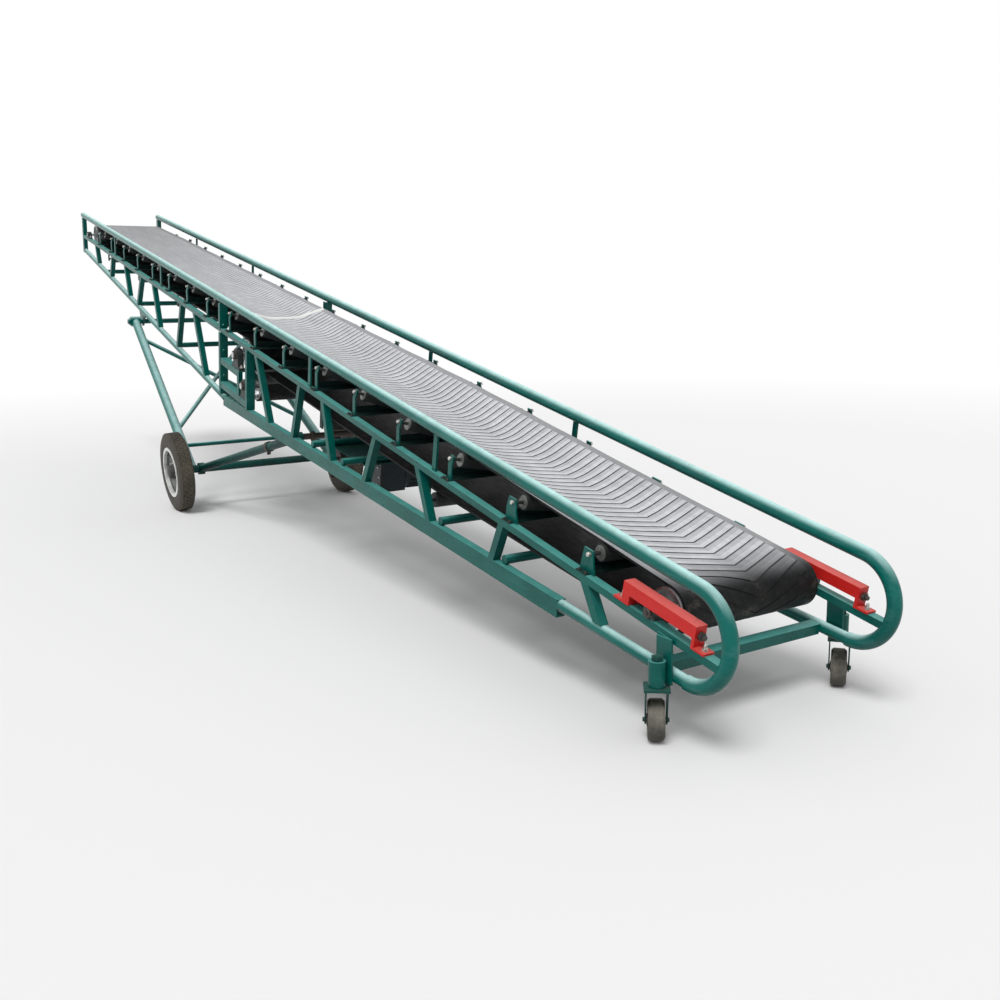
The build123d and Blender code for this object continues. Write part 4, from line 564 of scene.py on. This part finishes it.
RETURN_ROLLERS = [1330.0, 2700.0, 5850.0, 7200.0, 8500.0]
STATION_PITCH = 550.0
STATIONS = 17
IDLER_SAG = 3.0
SAG_ANGLE = 0.3


def middle(radius):
    """Radius of the belt's middle plane round a drum."""
    return radius + SEAT + BELT_THICK / 2


def tangent(first, second, r_first, r_second, side):
    """Angle on the first circle where a line leaves it for the second; a negative radius crosses over."""
    ds, dn = second[0] - first[0], second[1] - first[1]
    return math.atan2(dn, ds) + side * math.acos((r_first - r_second) / math.hypot(ds, dn))


def on_circle(centre, radius, angle):
    """Point (s, n) on a circle of the side view."""
    return centre[0] + radius * math.cos(angle), centre[1] + radius * math.sin(angle)


def top_at(s):
    """Wing angle and height of the belt's top at a place along the carrying strand."""
    for (s_low, a_low, n_low), (s_high, a_high, n_high) in zip(BELT_SECTIONS, BELT_SECTIONS[1:]):
        if s <= s_high:
            share = (s - s_low) / (s_high - s_low)
            return math.radians(a_low + share * (a_high - a_low)), n_low + share * (n_high - n_low)
    return 0.0, BELT_SECTIONS[-1][2]


class Loop:
    """The belt's middle line in the side view, as straight and round runs in the order of travel."""

    def __init__(self):
        self.runs = []
        self.length = 0.0

    def line(self, start, end, troughed=False):
        size = math.hypot(end[0] - start[0], end[1] - start[1])
        self.runs.append(("line", self.length, size, start, end, troughed))
        self.length += size

    def arc(self, centre, radius, start, end):
        size = abs(end - start) * radius
        self.runs.append(("arc", self.length, size, centre, (radius, start, end), False))
        self.length += size

    def find(self, u):
        """Place, left-hand normal and wing angle at a distance along the belt."""
        u %= self.length
        run = next(run for run in self.runs if run[1] <= u <= run[1] + run[2] + 1e-6)
        kind, begin, size, first, second, troughed = run
        if kind == "line":
            ds, dn = (second[0] - first[0]) / size, (second[1] - first[1]) / size
            spot = first[0] + ds * (u - begin), first[1] + dn * (u - begin)
            return spot, (-dn, ds), top_at(spot[0])[0] if troughed else 0.0
        radius, start, end = second
        angle = start + (end - start) * ((u - begin) / size)
        sense = 1.0 if end < start else -1.0
        return on_circle(first, radius, angle), (sense * math.cos(angle), sense * math.sin(angle)), 0.0


def belt_loop():
    """The whole loop in the order of travel, from the tail drum over the carrying strand and back."""
    loop = Loop()
    tops = [(s, n - BELT_THICK / 2) for s, _, n in BELT_SECTIONS]
    for start, end in zip(tops, tops[1:]):
        loop.line(start, end, True)
    head_r, drive_r = middle(HEAD_DRUM_R), middle(DRIVE_DRUM_R)
    bend_r, tail_r = middle(BEND_ROLLER_R), middle(TAIL_DRUM_R)
    head_leave = tangent(HEAD_DRUM, UPPER_DRUM, head_r, -drive_r, 1)
    head_leave -= 2 * math.pi if head_leave > math.pi / 2 else 0
    loop.arc(HEAD_DRUM, head_r, math.pi / 2, head_leave)
    upper_enter = head_leave + math.pi
    loop.line(on_circle(HEAD_DRUM, head_r, head_leave), on_circle(UPPER_DRUM, drive_r, upper_enter))
    cross = tangent(UPPER_DRUM, LOWER_DRUM, drive_r, -drive_r, -1) + 2 * math.pi
    loop.arc(UPPER_DRUM, drive_r, upper_enter, cross)
    loop.line(on_circle(UPPER_DRUM, drive_r, cross), on_circle(LOWER_DRUM, drive_r, cross - math.pi))
    bend_enter = tangent(BEND_ROLLER, LOWER_DRUM, bend_r, -drive_r, 1)
    lower_leave = bend_enter + math.pi - 2 * math.pi
    loop.arc(LOWER_DRUM, drive_r, cross - math.pi, lower_leave)
    loop.line(on_circle(LOWER_DRUM, drive_r, lower_leave), on_circle(BEND_ROLLER, bend_r, bend_enter))
    turn_tail = (RETURN_ROLLERS[0], RETURN_TOP_N - BELT_THICK / 2)
    turn_bend = (RETURN_ROLLERS[1], turn_tail[1] - RETURN_FALL)
    bend_leave = tangent(BEND_ROLLER, turn_bend, bend_r, 0, -1)
    bend_leave += 2 * math.pi if bend_leave < bend_enter else 0
    loop.arc(BEND_ROLLER, bend_r, bend_enter, bend_leave)
    loop.line(on_circle(BEND_ROLLER, bend_r, bend_leave), turn_bend)
    loop.line(turn_bend, turn_tail)
    tail_leave = tangent(TAIL_DRUM, turn_tail, tail_r, 0, -1)
    loop.line(turn_tail, on_circle(TAIL_DRUM, tail_r, tail_leave))
    loop.arc(TAIL_DRUM, tail_r, tail_leave, math.pi / 2 - 2 * math.pi)
    return loop


def belt_point(loop, u, w, height):
    """A point of the belt: along the loop, across the belt, and out from its middle plane."""
    (s, n), (normal_s, normal_n), angle = loop.find(u)
    far = abs(w)
    low, high = TROUGH_FLAT - FOLD_HALF, TROUGH_FLAT + FOLD_HALF
    if angle < FLAT_ANGLE:
        y, rise, lean = far, 0.0, 0.0
    else:
        lean = angle * min(max((far - low) / (high - low), 0.0), 1.0)
        reach = (high - low) / angle
        y = min(far, low) + reach * math.sin(lean) + max(far - high, 0.0) * math.cos(angle)
        rise = reach * (1 - math.cos(lean)) + max(far - high, 0.0) * math.sin(angle)
        slack = (s % STATION_PITCH) / STATION_PITCH
        rise -= IDLER_SAG * math.sin(math.pi * slack) ** 2 * min(1.0, angle / SAG_ANGLE)
    y -= height * math.sin(lean)
    out = rise + height * math.cos(lean)
    return at(s + normal_s * out, math.copysign(y, w), n + normal_n * out)


def chevron_belt(loop):
    """The belt with its grooves: an upper and a lower face along chevron rows, joined at both edges."""
    count = round(loop.length / CHEVRON_PITCH)
    pitch = loop.length / count
    rib = pitch - GROOVE_WIDTH
    columns = [-value for value in HALF_COLUMNS[::-1]] + MIDDLE_COLUMNS + HALF_COLUMNS
    steps = [(rib * part / RIB_ROWS, 0.0) for part in range(RIB_ROWS + 1)]
    steps += [(rib + GROOVE_EDGE, 1.0), (pitch - GROOVE_EDGE, 1.0)]
    rows = [(number * pitch + offset, low) for number in range(count) for offset, low in steps]
    upper, lower = [], []
    for begin, low in rows:
        for w in columns:
            u = begin + CHEVRON_SWEEP * abs(max(min(w, MARGIN), -MARGIN) - CHEVRON_APEX)
            depth = HEAD_GROOVE_DEPTH if SPLICE_U < u < loop.length / 2 else GROOVE_DEPTH
            inside = low * depth if abs(w) < MARGIN else 0.0
            upper.append(belt_point(loop, u, w, BELT_THICK / 2 - inside))
            lower.append(belt_point(loop, u, w, -BELT_THICK / 2))
    width, start = len(columns), len(upper)
    faces, grooves, second_tone, margins = [], [], [], []
    for row in range(len(rows)):
        here, following = row * width, (row + 1) % len(rows) * width
        step = row % len(steps)
        for column in range(width - 1):
            if column in (0, width - 2):
                margins.append(len(faces))
            # Painted shade in the grooves.
            elif step >= RIB_ROWS:
                grooves.append(len(faces))
            # Painted shade on the second half of each rib.
            elif step >= RIB_ROWS / 2:
                second_tone.append(len(faces))
            faces.append([here + column, following + column, following + column + 1, here + column + 1])
    for row in range(len(rows)):
        here, following = row * width, (row + 1) % len(rows) * width
        under, under_following = start + here, start + following
        for column in range(width - 1):
            faces.append([under + column, under + column + 1, under_following + column + 1,
                          under_following + column])
        for column in (0, width - 1):
            faces.append([here + column, following + column, under_following + column, under + column])
    mesh = Mesh()
    mesh.add(upper + lower, faces)
    belt = mesh.make("chevron_belt", BELT, "truss", 25.0,
                     ((BELT_GROOVE, grooves), (BELT_RIB_SHADE, second_tone), (BELT_MARGIN, margins)))
    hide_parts("belt_carry", "belt_end_wraps", "belt_head_return", "belt_drive_wrap",
                "belt_tail_return")


def belt_splice(loop):
    """Raised bead across the belt where its ends are joined."""
    points, size = [], 2 * SPLICE_STEPS + 1
    for shift, height in SPLICE_PROFILE:
        for step in range(-SPLICE_STEPS, SPLICE_STEPS + 1):
            points.append(belt_point(loop, SPLICE_U + shift, step * SPLICE_STEP, BELT_THICK / 2 + height))
    faces = []
    for line in range(len(SPLICE_PROFILE) - 1):
        for spot in range(line * size, (line + 1) * size - 1):
            faces.append([spot, spot + 1, spot + size + 1, spot + size])
    mesh = Mesh()
    mesh.add(points, faces)
    mesh.make("belt_splice", CHALK, "truss")


whole_loop = belt_loop()
chevron_belt(whole_loop)
belt_splice(whole_loop)


# Idler pins, bolts and roller ends
RAIL_TOP = 7.0
HALF_GAUGE = 408.0
ROLLER_R = 35.0
WING_START = 5.0
WING_LENGTH = 228.0
WING_PIN_REACH = 42.0
WING_REACH = WING_START + WING_LENGTH
PIN_REACH = WING_REACH + WING_PIN_REACH
UPRIGHT_THICK = 8.0
IDLER_WALL = 4.0
PIN_END = [(9.5, UPRIGHT_THICK), (9.5, UPRIGHT_THICK + 13), (8.0, UPRIGHT_THICK + 15),
           (0, UPRIGHT_THICK + 15)]
ROLLER_CAP = [(31.0, -0.5), (31.0, 1.2), (24.0, 1.6), (23.0, 0.6), (12.5, 0.6), (12.5, 4.0), (8.1, 4.0)]
BASE_BOLT_SHIFTS = (-10.0, 31.0)
BASE_BOLT_OUT = 11.0
BASE_BOLT = 7.0


def wing_axis(s, side, reach):
    """Point on a wing roller's axis and the axis direction outwards."""
    angle, top = top_at(s)
    drop = BELT_THICK + SEAT + ROLLER_R
    y = TROUGH_FLAT + drop * math.sin(angle) + reach * math.cos(angle)
    n = top - drop * math.cos(angle) + reach * math.sin(angle)
    return at(s, side * y, n), way(0, side * math.cos(angle), math.sin(angle))


def idler_details():
    """Ends of the wing rollers with their pins, and the bolts of each station."""
    pins, caps, bolts = Mesh(), Mesh(), Mesh()
    up = way(0, 0, 1)
    for station in range(STATIONS):
        s = station * STATION_PITCH
        for side in SIDES:
            spot, axis = wing_axis(s, side, PIN_REACH)
            pins.lathe(spot, axis, PIN_END, 16)
            end, axis = wing_axis(s, side, WING_REACH)
            caps.lathe(end, axis, ROLLER_CAP, 28)
            for shift in BASE_BOLT_SHIFTS:
                base = at(s + shift, side * (HALF_GAUGE + BASE_BOLT_OUT), RAIL_TOP + IDLER_WALL)
                bolts.bolt(base, up, BASE_BOLT, stud=3.0)
    pins.make("idler_pin_ends", STEEL, "truss")
    caps.make("idler_end_caps", CAP, "truss")
    bolts.make("idler_bolts", DARK, "truss")


idler_details()


# Bolts on the frame, the drive station and the take-ups
BLOCK_HEIGHT = 98.0
BLOCK_LENGTH = 170.0
BLOCK_FOOT = 18.0
BLOCK_BOLT_INSET = 16.0
BLOCK_HALF_WIDTH = 22.0
BEARING_CAP = [(33, 0), (33, 5), (30, 7), (30, 18), (22.4, 18)]
CAP_BOLT = (21.0, 33.0, 21.0)
GREASE_CUP_RISE = 45.0
GREASE_CUP = [(4, 0), (4, 5), (2.4, 7), (3.2, 10), (0, 11)]
HEAD_BLOCK_BOLT = 52.0
HEAD_BLOCK_FOOT = 12.0
HEAD_POST_S = 4542.0
POST_BOLT_SHIFT = -18.0
POST_BOLT_OUT = 3.0
POST_BOLTS = (30.0, -157.0, -349.0)
TAKEUP_FOOT_THICK = 8.0
TAKEUP_BOLTS = (-670.0, -229.0)
TAIL_BOSS_Y = 426.0
TAIL_BOSS_N = 27.0
TAIL_BOSS = [(19, 0), (19, 8), (16, 11), (7, 11), (7, 15), (0, 15)]
LOCK_SCREW = (-20.0, 22.0)
LOCK_SCREW_HEAD = [(7, 0), (7, 5), (0, 6)]
SCREW_TIP_S = -664.0
SCREW_N = 56.0
SCREW_TIP = [(9, 0), (7.5, 2), (0, 2)]


def frame_fasteners():
    """Bolts and small caps of the drive station, the head bearings, the posts and the take-ups."""
    bright, dark, painted = Mesh(), Mesh(), Mesh()
    up, aft = way(0, 0, 1), way(-1, 0, 0)
    for side in SIDES:
        outward = way(0, side, 0)
        y = side * HALF_GAUGE
        for centre in (UPPER_DRUM, LOWER_DRUM):
            s, n = centre
            for shift in (-1, 1):
                foot = at(s + shift * (BLOCK_LENGTH / 2 - BLOCK_BOLT_INSET), y, n - BLOCK_HEIGHT + BLOCK_FOOT)
                bright.bolt(foot, up, 14, stud=10)
            dark.lathe(at(s, y + side * BLOCK_HALF_WIDTH, n), outward, BEARING_CAP, 32)
            ahead, out, above = CAP_BOLT
            bright.bolt(at(s + ahead, y + side * out, n + above), way(1, 0, 1), 5, washer=False)
            dark.lathe(at(s, y, n + GREASE_CUP_RISE), up, GREASE_CUP, 12)
        for shift in (-1, 1):
            foot = at(HEAD_DRUM[0] + shift * HEAD_BLOCK_BOLT, y, RAIL_TOP + HEAD_BLOCK_FOOT)
            bright.bolt(foot, up, 11, stud=7)
        for n in POST_BOLTS:
            painted.bolt(at(HEAD_POST_S + POST_BOLT_SHIFT, y + side * POST_BOLT_OUT, n), aft, 11)
        for s in TAKEUP_BOLTS:
            bright.bolt(at(s, y, RAIL_TOP + TAKEUP_FOOT_THICK), up, 12, stud=14)
        dark.lathe(at(TAIL_DRUM[0], side * TAIL_BOSS_Y, TAIL_BOSS_N), outward, TAIL_BOSS, 28)
        lock = at(TAIL_DRUM[0] + LOCK_SCREW[0], side * TAIL_BOSS_Y, LOCK_SCREW[1])
        dark.lathe(lock, outward, LOCK_SCREW_HEAD, 6)
        dark.lathe(at(SCREW_TIP_S, y, SCREW_N), aft, SCREW_TIP, 20)
    bright.make("frame_bolts", STEEL, "truss")
    dark.make("small_fasteners", DARK, "truss")
    painted.make("post_bolts", TEAL, "truss")


# Clamps on the struts, at a share of the way from the axle to the trolley
STRUT_LOW = (4789.0, 515.0, -1159.33)
STRUT_HIGH = (3200.0, 332.0, -431.24)
CLAMP_SHARE = 0.735
CLAMP_BAND = [(30.2, 0), (36, 0), (37, 1), (37, 39), (36, 40), (30.2, 40), (30.2, 0)]
CLAMP_HALF = 20.0
CLAMP_EAR = (36, 10, 22)
CLAMP_EAR_DROP = 45.0
CLAMP_BOLT_DROP = 46.0
CLAMP_BOLT_OUT = 5.0


def strut_clamps():
    """A band clamped round each strut, near its upper end."""
    bands, up = Mesh(), way(0, 0, 1)
    for side in SIDES:
        outward = way(0, side, 0)
        low, high = (at(s, side * y, n) for s, y, n in (STRUT_LOW, STRUT_HIGH))
        axis = (high - low).normalized()
        spot = low.lerp(high, CLAMP_SHARE)
        bands.lathe(spot - axis * (CLAMP_HALF * MM), axis, CLAMP_BAND, 32)
        bands.block(spot - up * (CLAMP_EAR_DROP * MM), axis, way(0, 1, 0), up, CLAMP_EAR, 1)
        bands.bolt(spot - up * (CLAMP_BOLT_DROP * MM) + outward * (CLAMP_BOLT_OUT * MM), outward, 8, stud=3)
    bands.make("strut_clamps", DARK, "strut_frame")


frame_fasteners()
strut_clamps()


# Road wheels: block tread, wheel nuts and hub caps
TYRE_WIDTH = 118.0
RIM_R = 170.0
RIM_SEAT = 12.0
LUG_ROWS = 4
LUG_COUNT = 44
LUG_HEIGHT = 6.0
LUG_LONG = 0.49
LUG_WIDE = 0.98
LUG_TOP = 0.84
LUG_ROOT = 1.5
LUG_CROWN = 0.02
LUG_OVER = 3.0
LUG_FACES = [[4, 5, 6, 7]] + [[i, (i + 1) % 4, 4 + (i + 1) % 4, 4 + i] for i in range(4)]
EDGE_LUG = 0.19
EDGE_LUG_FLARE = 1.2
EDGE_LUG_ROOT = (5.0, 7.0)
TYRE_SIDES = 96
TREAD_FLOOR = (9, 13)
WHEEL_NUTS = 5
NUT_CIRCLE_R = 78.0
NUT_OUT = 20.5
HUB_CAP = [(44, 64.6), (44, 67.5), (40, 69.0), (24, 69.0), (20, 70.8), (0, 71.2)]
HUB_RING = [(56, 14), (60, 20), (60, 24), (53, 27)]
VALVE_R = 150.0
VALVE_OUT = 27.0
VALVE = [(4, 0), (4, 18), (5, 18), (5, 26), (0, 27)]


def tyre_mesh(centre, axis):
    """Carcass with bulging walls and rows of diamond lugs pressed round it."""
    carcass, lugs = Mesh(), Mesh()
    half = TYRE_WIDTH / 2
    base_r = TYRE_R - LUG_HEIGHT
    seat_r = RIM_R + RIM_SEAT
    wall = [(seat_r + 0.3, half - 15), (seat_r + 10, half - 8), (seat_r + 26, half - 2.5),
            (seat_r + 48, half - 0.3), (seat_r + 52, half), (seat_r + 56, half - 0.3),
            (seat_r + 74, half - 2.0), (TYRE_R - 24, half - 5), (TYRE_R - 14, half - 9),
            (base_r, TREAD_HALF - 1), (base_r + 0.6, TREAD_HALF / 2), (base_r + 0.8, 0)]
    profile = [(r, -h) for r, h in wall] + [(r, h) for r, h in wall[-2::-1]]
    carcass.lathe(centre, axis, profile + [profile[0]], TYRE_SIDES)
    across = axis.orthogonal().normalized()
    other = axis.cross(across)

    def spot(turn, height, radius):
        radial = across * math.cos(turn) + other * math.sin(turn)
        return centre + axis * (height * MM) + radial * (radius * MM)

    step = 2 * math.pi / LUG_COUNT
    span = 2 * TREAD_HALF / LUG_ROWS
    long, wide = LUG_LONG * step, LUG_WIDE * span
    outline = [(-long, 0.0), (0.0, -wide), (long, 0.0), (0.0, wide)]
    edge = TREAD_HALF + LUG_OVER
    for row in range(LUG_ROWS + 1):
        middle_h = -TREAD_HALF + row * span
        for number in range(LUG_COUNT):
            turn = (number + (row % 2) / 2) * step
            base, top = [], []
            for dt, dh in outline:
                height = max(min(middle_h + dh, edge), -edge)
                crown_r = TYRE_R - 0.2 - abs(height) * LUG_CROWN
                base.append(spot(turn + dt, height, base_r - LUG_ROOT))
                top.append(spot(turn + dt * LUG_TOP, middle_h + (height - middle_h) * LUG_TOP, crown_r))
            lugs.add(base + top, LUG_FACES)
    corners = [(-EDGE_LUG, TREAD_HALF - 4, TYRE_R - 1.0), (EDGE_LUG, TREAD_HALF - 4, TYRE_R - 1.0),
               (EDGE_LUG, half - 4.0, TYRE_R - 22), (-EDGE_LUG, half - 4.0, TYRE_R - 22)]
    inset, sunk = EDGE_LUG_ROOT
    for number in range(LUG_COUNT * 2):
        for side in SIDES:
            turn = number * step / 2
            top = [spot(turn + t * step, side * h, r) for t, h, r in corners]
            flared = step * EDGE_LUG_FLARE
            base = [spot(turn + t * flared, side * (h - inset), r - sunk) for t, h, r in corners]
            lugs.add(base + top, LUG_FACES)
    return carcass, lugs


def road_wheels():
    """Tyres in place of the plain ones, with the wheels' nuts, hubs and valves."""
    z = WHEEL_Z * MM
    x = frame_axle_x()
    for side, name in ((1, "left"), (-1, "right")):
        centre = Vector((x, side * WHEEL_Y * MM, z))
        axis = Vector((0, side * math.cos(CAMBER), -math.sin(CAMBER)))
        carcass, lugs = tyre_mesh(centre, axis)
        body = f"wheel_{name}"
        tread_floor = range(TREAD_FLOOR[0] * TYRE_SIDES, TREAD_FLOOR[1] * TYRE_SIDES)
        tyre = carcass.make(f"tyre_carcass_{name}", RUBBER, body, others=((TREAD_DUST, tread_floor),))
        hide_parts(f"tyre_{name}")
        lugs.make(f"tyre_tread_{name}", TREAD, body)
        trim, hub = Mesh(), Mesh()
        across = axis.orthogonal().normalized()
        other = axis.cross(across)
        for number in range(WHEEL_NUTS):
            turn = 2 * math.pi * number / WHEEL_NUTS
            radial = across * math.cos(turn) + other * math.sin(turn)
            trim.bolt(centre + radial * (NUT_CIRCLE_R * MM) + axis * (NUT_OUT * MM), axis, 12, stud=8)
        hub.lathe(centre, axis, HUB_CAP, 40)
        hub.lathe(centre, axis, HUB_RING, 40)
        trim.lathe(centre + across * (VALVE_R * MM) + axis * (VALVE_OUT * MM), axis, VALVE, 12)
        trim.make(f"wheel_nuts_{name}", STEEL, body)
        hub.make(f"hub_cap_{name}", DARK, body)


road_wheels()


# Casters: a nut at each end of an axle
CASTER_HUB_HALF = 33.0


def casters():
    """Nuts on the casters' axles, which stand on the forks."""
    for name in ("left", "right"):
        low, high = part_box(f"caster_wheel_{name}")
        centre = (low + high) / 2
        joint = next(j for j in frame["joints"] if j["name"] == f"caster_roll_{name}")
        axis = Vector(joint["axis"])
        nuts = Mesh()
        for sense in SIDES:
            nuts.bolt(centre + axis * sense * (CASTER_HUB_HALF * MM), axis * sense)
        nuts.make(f"caster_axle_nuts_{name}", DARK, f"caster_{name}")


casters()


# Motor's fins, but where its foot stands, its end cover, the gearbox's bolts and the rope on the winch
CHORD_DROP = 182.0
CHORD_SLOPE = 0.0735
CHORD_R = 24.0
PLATFORM_THICK = 8.0
MOTOR_S = 2500.0
MOTOR_R = 100.0
MOTOR_GAP = 14.0
FINS = 18
FIN_FREE = 0.45
FIN_SIZE = (190, 4, 14)
FIN_R = 105.0
FIN_OUT = 178.0
MOTOR_COVER_OUT = 276.0
MOTOR_COVER = [(101, 0), (104, 3), (104, 30), (98, 40), (30, 44), (0, 44)]
GEARBOX_BOLTS = 8
GEARBOX_BOLT_R = 78.0
GEARBOX_FACE = -120.0
WINCH_S = 2740.0
WINCH_Y = 190.0
WINCH_PLATE_R = 58.0
WINCH_GAP = 8.0
ROPE_R = 4.0
ROPE_TURN_R = 34.0
ROPE_TURNS = 8
ROPE_STEPS = 16
ROPE_HALF = 38.0


def under_platform(s, drop):
    """Height of a point that hangs from the platform, which lies on the lower chords."""
    return -CHORD_DROP - CHORD_SLOPE * s + CHORD_R - PLATFORM_THICK - drop


def around(number, count):
    """Direction of one of a ring's places in the side view."""
    turn = 2 * math.pi * number / count
    return way(math.cos(turn), 0, math.sin(turn))


def motor_and_winch():
    """Trim of the drive and the winch."""
    fins, details = Mesh(), Mesh()
    motor = at(MOTOR_S, 0, under_platform(MOTOR_S, MOTOR_R + MOTOR_GAP))
    across = way(0, -1, 0)
    for number in range(FINS):
        if math.sin(2 * math.pi * number / FINS) > FIN_FREE:
            continue
        radial = around(number, FINS)
        spot = motor + radial * (FIN_R * MM) + across * (FIN_OUT * MM)
        fins.block(spot, across, across.cross(radial), radial, FIN_SIZE, 0.8)
    fins.lathe(motor + across * (MOTOR_COVER_OUT * MM), across, MOTOR_COVER, 48)
    for number in range(GEARBOX_BOLTS):
        radial = around(number, GEARBOX_BOLTS)
        details.bolt(motor + radial * (GEARBOX_BOLT_R * MM) + across * (GEARBOX_FACE * MM), -across, 8)
    fins.make("motor_fins", MOTOR, "truss")
    details.make("gearbox_bolts", STEEL, "truss")
    rope, path = Mesh(), []
    winch = at(WINCH_S, WINCH_Y, under_platform(WINCH_S, WINCH_PLATE_R + WINCH_GAP))
    steps = ROPE_TURNS * ROPE_STEPS
    for number in range(steps + 1):
        shift = -ROPE_HALF + number * 2 * ROPE_HALF / steps
        path.append(winch + around(number, ROPE_STEPS) * (ROPE_TURN_R * MM) + way(0, 1, 0) * (shift * MM))
    rope.tube(path, ROPE_R, 8)
    rope.make("winch_rope", ROPE, "truss")


motor_and_winch()


# Floor, backdrop and light
FLOOR_R = 60.0
FLOOR_FADE = (7.0, 15.0)
WHITE = (1, 1, 1, 1)
SKY_STRENGTH = 0.62
SUN_STRENGTH = 1.5
SUN_SPREAD = math.radians(25)
SUN_WAY = Vector((0.35, -0.45, -1.0))


def studio():
    """Pale floor that fades to the white backdrop, an even sky and one soft sun."""
    scene = bpy.context.scene
    scene.view_settings.view_transform = "Standard"
    work = bmesh.new()
    bmesh.ops.create_circle(work, cap_ends=True, segments=96, radius=FLOOR_R)
    data = bpy.data.meshes.new("floor")
    work.to_mesh(data)
    work.free()
    floor = bpy.data.objects.new("floor", data)
    scene.collection.objects.link(floor)
    sh = Shader("floor")
    fade = sh.ramp(sh.vector("LENGTH", sh.coords.outputs["Object"]), *FLOOR_FADE)
    sh.set(Base_Color=linear(240, 240, 240), Roughness=0.9, Specular_IOR_Level=0.1)
    glow = sh.nodes.new("ShaderNodeEmission")
    glow.inputs["Color"].default_value = WHITE
    blend = sh.nodes.new("ShaderNodeMixShader")
    sh.link(fade, blend.inputs[0])
    sh.link(sh.bsdf.outputs[0], blend.inputs[1])
    sh.link(glow.outputs[0], blend.inputs[2])
    sh.link(blend.outputs[0], sh.nodes["Material Output"].inputs["Surface"])
    data.materials.append(sh.material)

    world = bpy.data.worlds.new("studio")
    scene.world = world
    world.use_nodes = True
    nodes, links = world.node_tree.nodes, world.node_tree.links
    light = nodes["Background"]
    light.inputs["Color"].default_value = WHITE
    light.inputs["Strength"].default_value = SKY_STRENGTH
    plain = nodes.new("ShaderNodeBackground")
    plain.inputs["Color"].default_value = WHITE
    plain.inputs["Strength"].default_value = 1.0
    rays = nodes.new("ShaderNodeLightPath")
    seen = nodes.new("ShaderNodeMath")
    seen.operation = "MAXIMUM"
    links.new(rays.outputs["Is Camera Ray"], seen.inputs[0])
    glossy = nodes.new("ShaderNodeMath")
    glossy.operation = "MAXIMUM"
    links.new(rays.outputs["Is Glossy Ray"], glossy.inputs[0])
    links.new(rays.outputs["Is Transmission Ray"], glossy.inputs[1])
    links.new(glossy.outputs[0], seen.inputs[1])
    mixed = nodes.new("ShaderNodeMixShader")
    links.new(seen.outputs[0], mixed.inputs[0])
    links.new(light.outputs[0], mixed.inputs[1])
    links.new(plain.outputs[0], mixed.inputs[2])
    links.new(mixed.outputs[0], nodes["World Output"].inputs["Surface"])

    sun_data = bpy.data.lights.new("sun", "SUN")
    sun_data.energy = SUN_STRENGTH
    sun_data.angle = SUN_SPREAD
    sun = bpy.data.objects.new("sun", sun_data)
    sun.rotation_euler = SUN_WAY.to_track_quat("-Z", "Y").to_euler()
    scene.collection.objects.link(sun)


studio()
